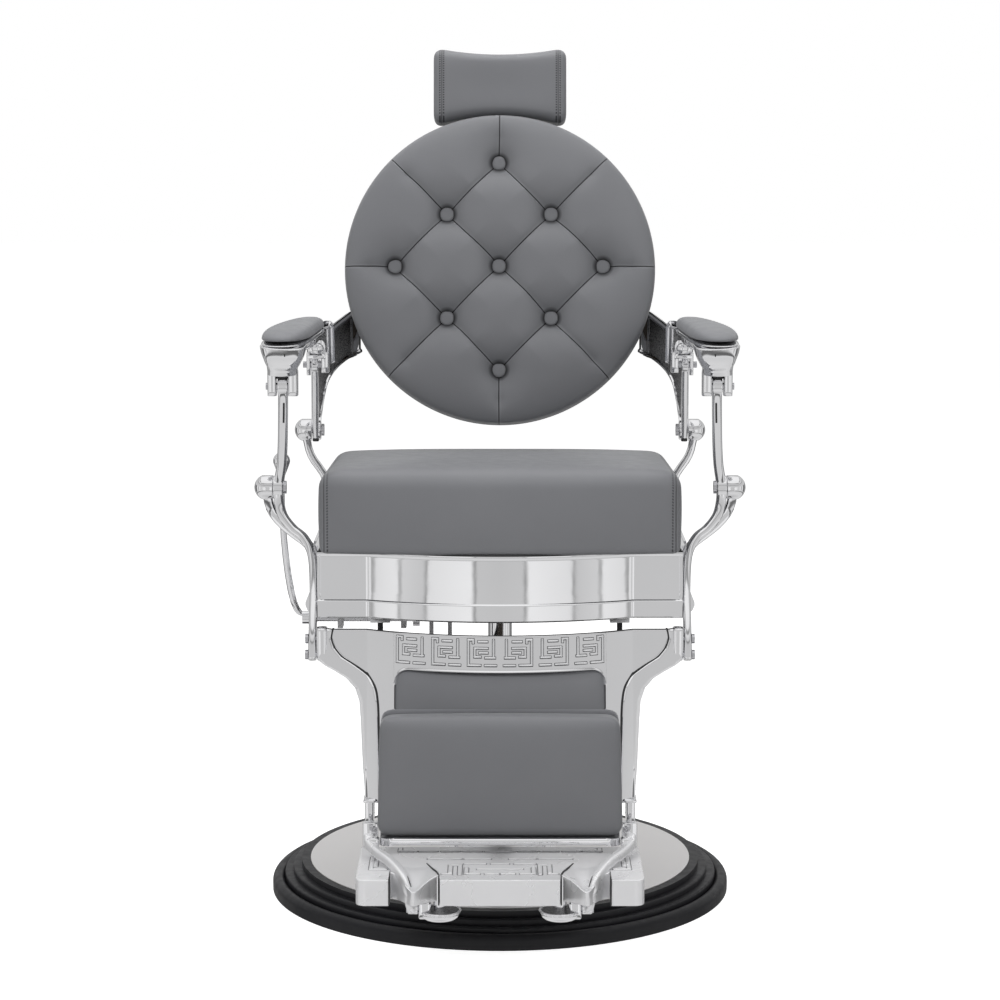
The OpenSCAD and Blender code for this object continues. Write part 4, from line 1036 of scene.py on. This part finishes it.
# Hood over the front clevis
HOOD = (
    (310.6, -212, 810, 21.6, 19), (310.6, -213, 817, 21.8, 22.5), (310.4, -214, 824, 23.0, 26),
    (309.8, -216, 831, 26.6, 29), (309.0, -218, 841, 31.0, 31.5), (308.6, -219, 852, 33.5, 33),
)
# A dark line of painted shade that stands for the slot in the hood
HOOD_SLOT = ((304.6, -249.4, 842, 1.5, 1.6), (304.6, -247.4, 837, 1.5, 1.6), (304.6, -244.6, 832, 1.2, 1.6))
# Ears of the two clevises: height and half depth
FRONT_EAR = ((778.5, 11), (783, 13.5), (792, 14.5), (803, 14.5), (815, 14.5))
REAR_EAR = ((780, 9), (785, 12), (795, 13.5), (816, 13.5))
# Small dome on the rear plate
DOME = (
    (278.5, 62, 815, 4, 4), (278.5, 61, 818, 8, 7), (278.5, 60, 822.5, 9.4, 8), (278.5, 61, 827, 8, 7),
    (278.5, 62, 830, 4, 4),
)
PLATE_TOP = ((262, 857), (268, 855), (274.5, 851.4), (281.6, 845), (288, 837), (296, 829))
PLATE_WIDTH = 34


def plate_top(x):
    for (x0, z0), (x1, z1) in zip(PLATE_TOP, PLATE_TOP[1:]):
        if x <= x1:
            return z0 + (z1 - z0) * (x - x0) / (x1 - x0)
    return PLATE_TOP[-1][1]


def make_arm_bodies():
    """Arm rest castings: a leaf-shaped tray, the hood of the front clevis, the plate of the rear one."""
    left = PLATE_TOP[0][0]

    def leaf(net):
        across, depth, rise = on_leaf(net, 1.0, 0.5 if net.z < 0 else 0.25)
        return Vector((across, depth, ARM_RIM + 6 + 5 * rise)) * MM

    def plate(u, v):
        x = left + PLATE_WIDTH * u
        top = plate_top(x)
        low = 806 - 10 * fade(x, left, 275)
        height = low + v * (top - low)
        out = 3.0 * fade(top - height, 2.0, 4.0) + 2.5 * fade(x, left, 265.5)
        return Vector((x, 66 - out + 0.25 * (850 - height), height))

    def plate_pick(u, v):
        return (1 - v) * (plate_top(left + PLATE_WIDTH * u) - 800) > 4 and u > 0.1

    tray = ball(72, 28)
    shape(tray, leaf)
    paint(tray, CHROME)
    smooth(tray)
    parts = [tray, casting(HOOD, square=0.75, segments=56)]
    for x, half in ((295.9, 7.0), (325.8, 6.4)):
        parts.append(casting([(x, -209, z, half, deep) for z, deep in FRONT_EAR], square=0.42, rings=24))
    for x, half, lift in ((268.3, 6.2, 4), (293.6, 3.0, 0)):
        rows = [(x, 81, z + (lift if z < 790 else 0), half, deep) for z, deep in REAR_EAR]
        parts.append(casting(rows, square=0.45, rings=24))
    keel = [(arm_centre(depth), depth, z, wide, deep)
            for depth, z, wide, deep in ((-190, 838, 12, 12), (-80, 839, 10, 10), (60, 838, 11, 12))]
    parts += [
        # a black block inside the front clevis: painted shade of the gap under the hood
        block((303.2, -218, 803.5), (319.2, -200, 812), 0, BLACK),
        casting(HOOD_SLOT, square=0.9, rings=12, finish=BLACK),
        casting(keel, side=(0, 0, 1), rings=24),
        sheet(40, 44, plate, 14, (CHROME, HAMMERED), plate_pick),
        block((266, 67, 805.5), (296, 94, 812)),
        casting(DOME, square=1.0, rings=20),
        block((266, 70, 812), (296, 96, 842), 6),
    ]
    stand_for_pair(parts, "arm_casting", "armrest_body", ("armrest_left", "armrest_right"))


LEVER = (
    (310.8, -209, 803, 6.6, 9), (310.8, -207, 788, 7, 11), (311.1, -203, 770, 7, 11), (312.2, -195, 740, 7, 10.5),
    (313.6, -186, 710, 7, 10.5), (316.2, -176, 678, 7, 11), (320.0, -168, 655, 7.2, 13), (322.4, -165, 640, 7.2, 14),
    (321.0, -169, 618, 7, 12.5), (315.0, -177, 599, 6.8, 11), (301.0, -184, 582, 6.5, 11),
    (283.5, -191, 568, 6.3, 11.5), (272.0, -201, 545, 6, 12), (268.4, -222, 498, 5.8, 13),
    (268.3, -246, 458, 5.8, 13.5), (268.3, -260, 432, 5.8, 13), (268.3, -269, 405, 5.8, 12),
)
# A dark line of painted shade that stands for the slot in the lever
LEVER_SLOT = ((309.2, -214.6, 768, 1.4, 1.2), (309.9, -209.5, 752, 1.4, 1.2), (310.6, -205.2, 739, 1.4, 1.2))


def make_levers():
    """Bent levers from the arm rests' front pins, over the front pivots, down to the leg rest."""
    parts = [
        casting(LEVER, square=0.55, rings=150),
        casting(LEVER_SLOT, rings=16, finish=BLACK),
        rod((303.8, -209, 792), (317.8, -209, 792), 12.5),
        rod((315.4, -165, 640), (329.4, -165, 640), 17),
    ]
    stand_for_pair(parts, "lever_casting", "front_lever", ("legrest", "legrest"))


# ------------------------------------------------------------------ leg rest frame

FRAME_TOP = 449.5
FRAME_FOOT = 214
BAND_LOW = 399
BAND_HALF = 151
BAND_CORNER = 22
RAIL_INNER = 150
# Outer edge of the side rails and the groove in them: across, height
RAIL_EDGE = (
    (261.5, 452), (261.7, 430), (261.5, 407), (250, 398.5), (234, 390), (219, 381), (207, 368), (200.5, 350),
    (198.4, 325), (196.8, 295), (195, 262), (192.5, 234), (191.5, 214),
)
GROOVE = (
    (238, 451), (240.5, 437), (236, 424), (225, 411), (207, 400), (188.5, 387), (178, 371), (174, 352),
    (172.6, 330), (171.6, 302), (170.5, 262), (169.5, 216),
)
# One motif of the meander, as strokes from point to point about its middle, and its three places
MEANDER = (
    ((-18.2, 18.8), (-18.2, -14.8)), ((-18.2, -15.1), (-2, -15.1)), ((-18.2, 18.8), (-11.5, 18.8)),
    ((-11.5, 18.4), (-11.5, 15)), ((-3.6, 16.5), (7.8, 16.5)), ((-9.3, 7.6), (8.2, 7.6)),
    ((-9.3, 7.6), (-9.3, -3.8)), ((-9.3, -3.9), (-1.6, -3.9)), ((-2.4, 1.6), (8.2, 1.6)),
    ((17.2, 18.4), (17.2, -2.6)), ((6.2, -5), (18.6, -5)), ((5.8, -15.2), (20.2, -15.2)),
)
MOTIFS = (-127.5, -76.9, -26.3)
MOTIF_HEIGHT = 424.2


def reading(table, height):
    """Station across at a height, from a table that runs from the top down."""
    for (x0, z0), (x1, z1) in zip(table, table[1:]):
        if height >= z1:
            return x0 + (x1 - x0) * (z0 - height) / (z0 - z1)
    return table[-1][0]


def strokes(lines, place, half, rise=0.75, finish=None):
    """Raised rounded bars of an ornament; one is modelled, the rest are copies of it."""
    pattern = casting([(0, 0, z, 1, 1) for z in (-1, -0.5, 0, 0.5, 1)],
                      square=1.0, segments=12, rings=10, turn_in=0.5, finish=finish)
    copies = []
    for start, end in lines:
        bar = copied(pattern)
        a, b = Vector(place(*start)), Vector(place(*end))
        run = (b - a).normalized()
        # the surface's normal at the stroke, from two short steps along it
        beside, above = place(start[0] + 0.5, start[1]), place(start[0], start[1] + 0.5)
        normal = (Vector(beside) - a).cross(Vector(above) - a).normalized()
        flat = normal.cross(run)
        a, b = a - run * half, b + run * half
        middle, reach = (a + b) / 2, (b - a).length / 2

        def form(point):
            p = point / MM
            return (middle + run * p.z * reach + flat * p.x * half + normal * p.y * half * rise) * MM

        shape(bar, form)
        outward(bar)
        copies.append(bar)
    bpy.data.objects.remove(pattern)
    return copies


def make_leg_frame():
    """Cast frame of the leg rest: bowed fret band, grooved side rails, ears, knuckles and cross bars."""
    def band(u, v):
        x = BAND_HALF * (2 * u - 1)
        past = max(0.0, abs(x) - BAND_HALF + BAND_CORNER)
        low = BAND_LOW - BAND_CORNER + math.sqrt(max(0.0, BAND_CORNER ** 2 - past ** 2))
        height = low + v * (FRAME_TOP - low)
        out = 0.9 * fade(height - low, 0.5, 3.0) - 1.2 * fade(FRAME_TOP - height, 0, 1.6)
        return on_leg_face(x, height, out)

    def rail(u, v):
        height = FRAME_FOOT + v * (FRAME_TOP - FRAME_FOOT + 2.5 * step_up(u, 0.75, 0.95))
        outer, groove = reading(RAIL_EDGE, height), reading(GROOVE, height)
        x = RAIL_INNER + u * (outer - RAIL_INNER)
        # the rail's edge is rolled back
        out = -3.5 * fade(outer - x, 0, 5.5) + 2.4 * step_up(x, groove - 1, groove + 4)
        out -= 1.2 * fade(FRAME_TOP - height, 0, 1.6) + 1.0 * fade(x - RAIL_INNER, 0, 2.0) * fade(height, 372, 380)
        return on_leg_face(x, height, out)

    # the black strip along each rail's top edge is painted shade
    side = sheet(80, 150, rail, 11, (CHROME, BLACK), lambda u, v: v > 0.9934)
    # the dark line in the rail's groove is painted shade
    line = shade_line([(*on_leg_face(x, z, 1.0), 1.15, 1.0) for x, z in GROOVE], rings=120)
    lines = [[(sign * (middle + x), MOTIF_HEIGHT + z * 1.02) for x, z in stroke]
             for middle in MOTIFS for stroke in MEANDER for sign in (1, -1)]
    parts = [
        # the black strip along the band's top edge is painted shade
        sheet(150, 40, band, 8, (CHROME, BLACK), lambda u, v: v > 0.975),
        side, mirrored(side, "rail"), line, mirrored(line, "groove"),
        # wider dark strokes under the bars: painted shade that outlines them
        *strokes(lines, lambda x, z: on_leg_face(x, z, 0.1), 2.3, 0.1, RECESS_SHADE),
        *strokes(lines, lambda x, z: on_leg_face(x, z, 0.2), 1.5),
        rod((-104, -252, 372), (-76, -252, 372), 5, STEEL),
    ]
    foot = leg_face(216)
    for sign in (1, -1):
        parts.append(block((sign * 247, -276, 404), (sign * 261.7, -250, 452), 4))
        parts.append(block((sign * 178, foot - 19, 187), (sign * 191, foot + 12, 218), 2.5))
        parts.append(block((sign * 176, foot - 21, 216), (sign * 193, foot + 13, 219.5), 1))
    for height in (367, 230):
        base = leg_face(height)
        parts.append(block((-190, base + 9.5, height), (190, base + 18, height + 16)))
    for x in (-104, -82):
        parts.append(block((x, leg_face(372) + 13, 362), (x + 6, -243, 382)))
    stand_for(joined(parts, "leg_frame_casting"), "legrest_frame", "legrest")


# ------------------------------------------------------------------ skirt

SKIRT_HALF = 262.0
SKIRT_SIDE = 385.0
SKIRT_FLAT = 190.0
SKIRT_BOW = 40.0
SKIRT_FRONT = -247.0
SKIRT_LOW = 462
SKIRT_HEIGHT = 97.5


def make_skirt():
    """Polished apron: flat ends, bowed middle, a ledge above its lower strip."""
    radius = (SKIRT_FLAT ** 2 + SKIRT_BOW ** 2) / (2 * SKIRT_BOW)
    arc = radius * math.asin(SKIRT_FLAT / radius)
    flat = SKIRT_HALF - SKIRT_FLAT

    def wall(u, v):
        run = (2 * u - 1) * (arc + flat + SKIRT_SIDE)
        reach, sign = abs(run), math.copysign(1, run)
        if reach < arc:
            normal = Vector((math.sin(run / radius), -math.cos(run / radius), 0))
            base = Vector((0, SKIRT_FRONT - SKIRT_BOW + radius, 0)) + normal * radius
        elif reach < arc + flat:
            base, normal = Vector((sign * (SKIRT_FLAT + reach - arc), SKIRT_FRONT, 0)), Vector((0, -1, 0))
        else:
            base, normal = Vector((sign * SKIRT_HALF, SKIRT_FRONT + reach - arc - flat, 0)), Vector((sign, 0, 0))
        height = SKIRT_LOW + SKIRT_HEIGHT * v
        out = -2.6 + 2.6 * fade(height, 486.5, 489.0) + 1.0 * fade(height, 489, 500)
        out += 1.6 * step_up(height, 550, 556) - 2.0 * step_up(height, 557.5, 559.5)
        out -= 1.4 * fade(height, 462, 463.5)
        return base + normal * out + Vector((0, 0, height))

    # the black strip along the apron's top, under the seat, is painted shade
    apron = sheet(420, 84, wall, 3, (CHROME, BLACK), lambda u, v: v > 0.978)
    apron.name = "apron_polished"
    stand_for(apron, "seat_skirt", "seat")


# ------------------------------------------------------------------ foot plate, cups and swing arms

FOOT_HALF = 196
FOOT_TOP = 153.0
FOOT_FLOOR = 117.0
FOOT_FRONT = -520.0
FOOT_BACK = -352.0
FOOT_CORNER = 14
# Front edge of the foot plate between its slits: across, depth, height
BEAK = (
    (84, -497, 153), (88, -499, 152), (95, -502, 149), (103, -508, 144), (110, -516, 139), (116, -522, 136.5),
    (121, -519, 137), (127, -510, 141), (134, -498, 147), (141, -487, 151.5), (149, -482, 153),
)
# The dark line of painted shade that runs back from each beak on the plate
BEAK_LINE = ((84, -492, 1.3), (87, -478, 1.3), (93, -462, 1.3), (101, -438, 1.0))
# Raised strokes of the tread, seen in plan: one side, the other is its mirror image
TREAD = (
    ((140, -376), (119, -376)), ((111, -376), (90, -376)), ((80, -376), (59, -376)), ((50, -376), (28, -376)),
    ((19, -376), (0, -376)), ((140, -376), (140, -362)), ((98, -415), (56, -415)), ((47, -415), (15, -415)),
    ((47, -440), (22, -440)), ((10, -440), (0, -440)), ((29, -466), (0, -466)), ((18, -490), (4, -490)),
    ((68, -446), (55, -446)), ((68, -446), (68, -484)), ((55, -446), (55, -492)), ((77, -490), (68, -490)),
    ((46, -462), (46, -490)), ((46, -490), (30, -490)), ((177, -408), (177, -462)), ((177, -467), (158, -467)),
    ((171, -430), (171, -452)),
)
# Middle of the cups
CUP_ACROSS, CUP_DEPTH = 82, -490
CUP_BOWL = ((91, 21), (93, 24), (95.5, 26.5), (98.5, 27.8), (101.5, 28.2))
SWING_ARM = (
    (183, -396, 179, 7.2, 7.2), (182.5, -400, 177, 7.2, 7.2), (180.6, -408, 171, 7, 7),
    (167.8, -432, 165.6, 6.8, 6.8), (151.5, -458, 161.5, 6.8, 6.6), (138.4, -480, 154.3, 6.6, 6.6),
    (129.7, -496, 145, 6.4, 6.6), (124.8, -504, 130, 6.2, 6.8), (121.8, -504, 115, 6, 7), (119, -500, 104, 6, 7),
)
SWING_SIDE = (0, 0.35, 1)


def slab(columns, rows, top, floor):
    """A solid under the surface top(u, v), in millimetres, standing on a flat floor."""
    piece = flat_net(columns, rows)
    paint(piece, CAST_BRIGHT)
    edited(piece, lambda: bpy.ops.mesh.extrude_region_move(TRANSFORM_OT_translate={"value": (0, 0, -1)}))

    def form(net):
        point = top((net.x + 1) / 2, (net.y + 1) / 2)
        if net.z < -0.5:
            point.z = floor
        return point * MM

    shape(piece, form)
    outward(piece)
    smooth(piece, 38)
    return piece


def foot_edge(x):
    """Depth and height of the foot plate's front edge at a distance from its middle."""
    reach = abs(x)
    if 82.5 < reach < 150.5:
        reach = max(BEAK[0][0], min(BEAK[-1][0], reach))
        for (x0, y0, z0), (x1, y1, z1) in zip(BEAK, BEAK[1:]):
            if reach <= x1:
                share = (reach - x0) / (x1 - x0)
                return y0 + (y1 - y0) * share, z0 + (z1 - z0) * share
    past = max(0.0, reach - FOOT_HALF + FOOT_CORNER)
    return FOOT_FRONT + FOOT_CORNER - math.sqrt(max(0.0, FOOT_CORNER ** 2 - past ** 2)), FOOT_TOP


def make_foot_plate():
    """Foot plate: raised tread, deep apron, slits beside the beaks that the swing arms stand before."""
    def top(u, v):
        x = FOOT_HALF * (2 * u - 1)
        depth, height = foot_edge(x)
        share = (1 - v) ** 0.75
        y = FOOT_BACK + (depth - FOOT_BACK) * share
        drop = (FOOT_TOP - height) * step_up(share, 0.62, 1.0)
        rim = fade(y - depth, 0.0, 2.0) + fade(FOOT_HALF - abs(x), 0.0, 1.6)
        return Vector((x, y, FOOT_TOP - drop - rim))

    lines = [[(sign * x, y) for x, y in line] for line in TREAD for sign in (1, -1)]
    parts = [
        slab(260, 60, top, FOOT_FLOOR),
        # wider dark strokes under the tread's bars: painted shade that outlines them
        *strokes(lines, lambda x, y: (x, y, FOOT_TOP), 4.0, 0.09, RECESS_SHADE),
        *strokes(lines, lambda x, y: (x, y, FOOT_TOP + 0.1), 3.0, 0.42, CAST_BRIGHT),
    ]
    for sign in (1, -1):
        # the slits beside the beaks are black blocks: painted shade of the gaps
        for x, end in ((150.4, -478), (83.1, -492)):
            low, high = (sign * (x - 0.8), -521.0, FOOT_FLOOR + 1), (sign * (x + 0.8), end, FOOT_TOP + 0.3)
            parts.append(block(low, high, 0, BLACK))
        parts += [
            shade_line([(sign * x, y, FOOT_TOP, half, half) for x, y, half in BEAK_LINE], rings=20),
            block((sign * 172, -347, 147), (sign * 194, -334, 187)),
            block((sign * 172, -356, 147), (sign * 194, -340, 153), 1.5),
            rod((sign * CUP_ACROSS, CUP_DEPTH, 95), (sign * CUP_ACROSS, CUP_DEPTH, 151), 9),
        ]
    stand_for(joined(parts, "foot_casting"), "foot_plate", "legrest")


def make_cups():
    """Dished feet under the foot plate, and the lugs that the swing arms turn on."""
    parts = []
    for sign in (1, -1):
        x = sign * CUP_ACROSS
        deselect()
        bpy.ops.mesh.primitive_torus_add(
            major_segments=72, minor_segments=16, major_radius=27.4 * MM, minor_radius=1.7 * MM,
            location=(x * MM, CUP_DEPTH * MM, 102.3 * MM),
        )
        bpy.ops.object.transform_apply(location=True, rotation=True, scale=True)
        rim = bpy.context.object
        paint(rim, CHROME)
        smooth(rim)
        parts += [
            rim,
            casting([(x, CUP_DEPTH, z, r, r) for z, r in CUP_BOWL], (0, 1, 0), 1.0, 72, 20, 1.0),
            rod((x, CUP_DEPTH, 100.2), (x, CUP_DEPTH, 102.2), 26.2, HAMMERED, 72),
            block((sign * 94, -505, 93), (sign * 111, -489, 117), 3),
        ]
    stand_for(joined(parts, "cup_casting"), "support_cups", "legrest")


def make_swing_arms():
    """Double-curved arms that carry the shin pad's tray."""
    shadow = [(x - 5.6, y - 3.4, z + 2.4, 0.9, 0.9) for x, y, z, *_ in SWING_ARM[2:8]]
    parts = [
        casting(SWING_ARM, side=SWING_SIDE, rings=90, finish=CAST_BRIGHT),
        shade_line(shadow, SWING_SIDE, 10, 60),
        block((168.7, -410, 166), (186, -394, 181), 3),
        rod((112, -497, 108), (124, -497, 108), 9),
    ]
    stand_for_pair(parts, "swing_casting", "swing_arm", ("shin_unit", "shin_unit"))


# ------------------------------------------------------------------ the scene

bpy.context.scene.view_settings.view_transform = "Standard"
add_camera()
add_softbox("key_light", (-1.9, -2.9, 3.0), (0, 0, 0.7), 1.8, 1.4, 76)
add_softbox("fill_light", (2.2, -2.6, 2.0), (0, 0, 0.7), 1.6, 1.6, 34)
add_softbox("top_light", (0, 0.4, 3.4), (0, 0, 0.6), 2.4, 2.0, 74)
add_floor()
add_room()
finish_nodes()
make_seat()
make_back()
make_buttons()
make_headrest()
make_shin_pad()
make_calf_pad()
make_arm_pad("arm_pad_cover_left", 1, "armrest_pad_left", "armrest_left")
make_arm_pad("arm_pad_cover_right", -1, "armrest_pad_right", "armrest_right")
make_brackets()
make_arm_bodies()
make_levers()
make_leg_frame()
make_skirt()
make_foot_plate()
make_cups()
make_swing_arms()
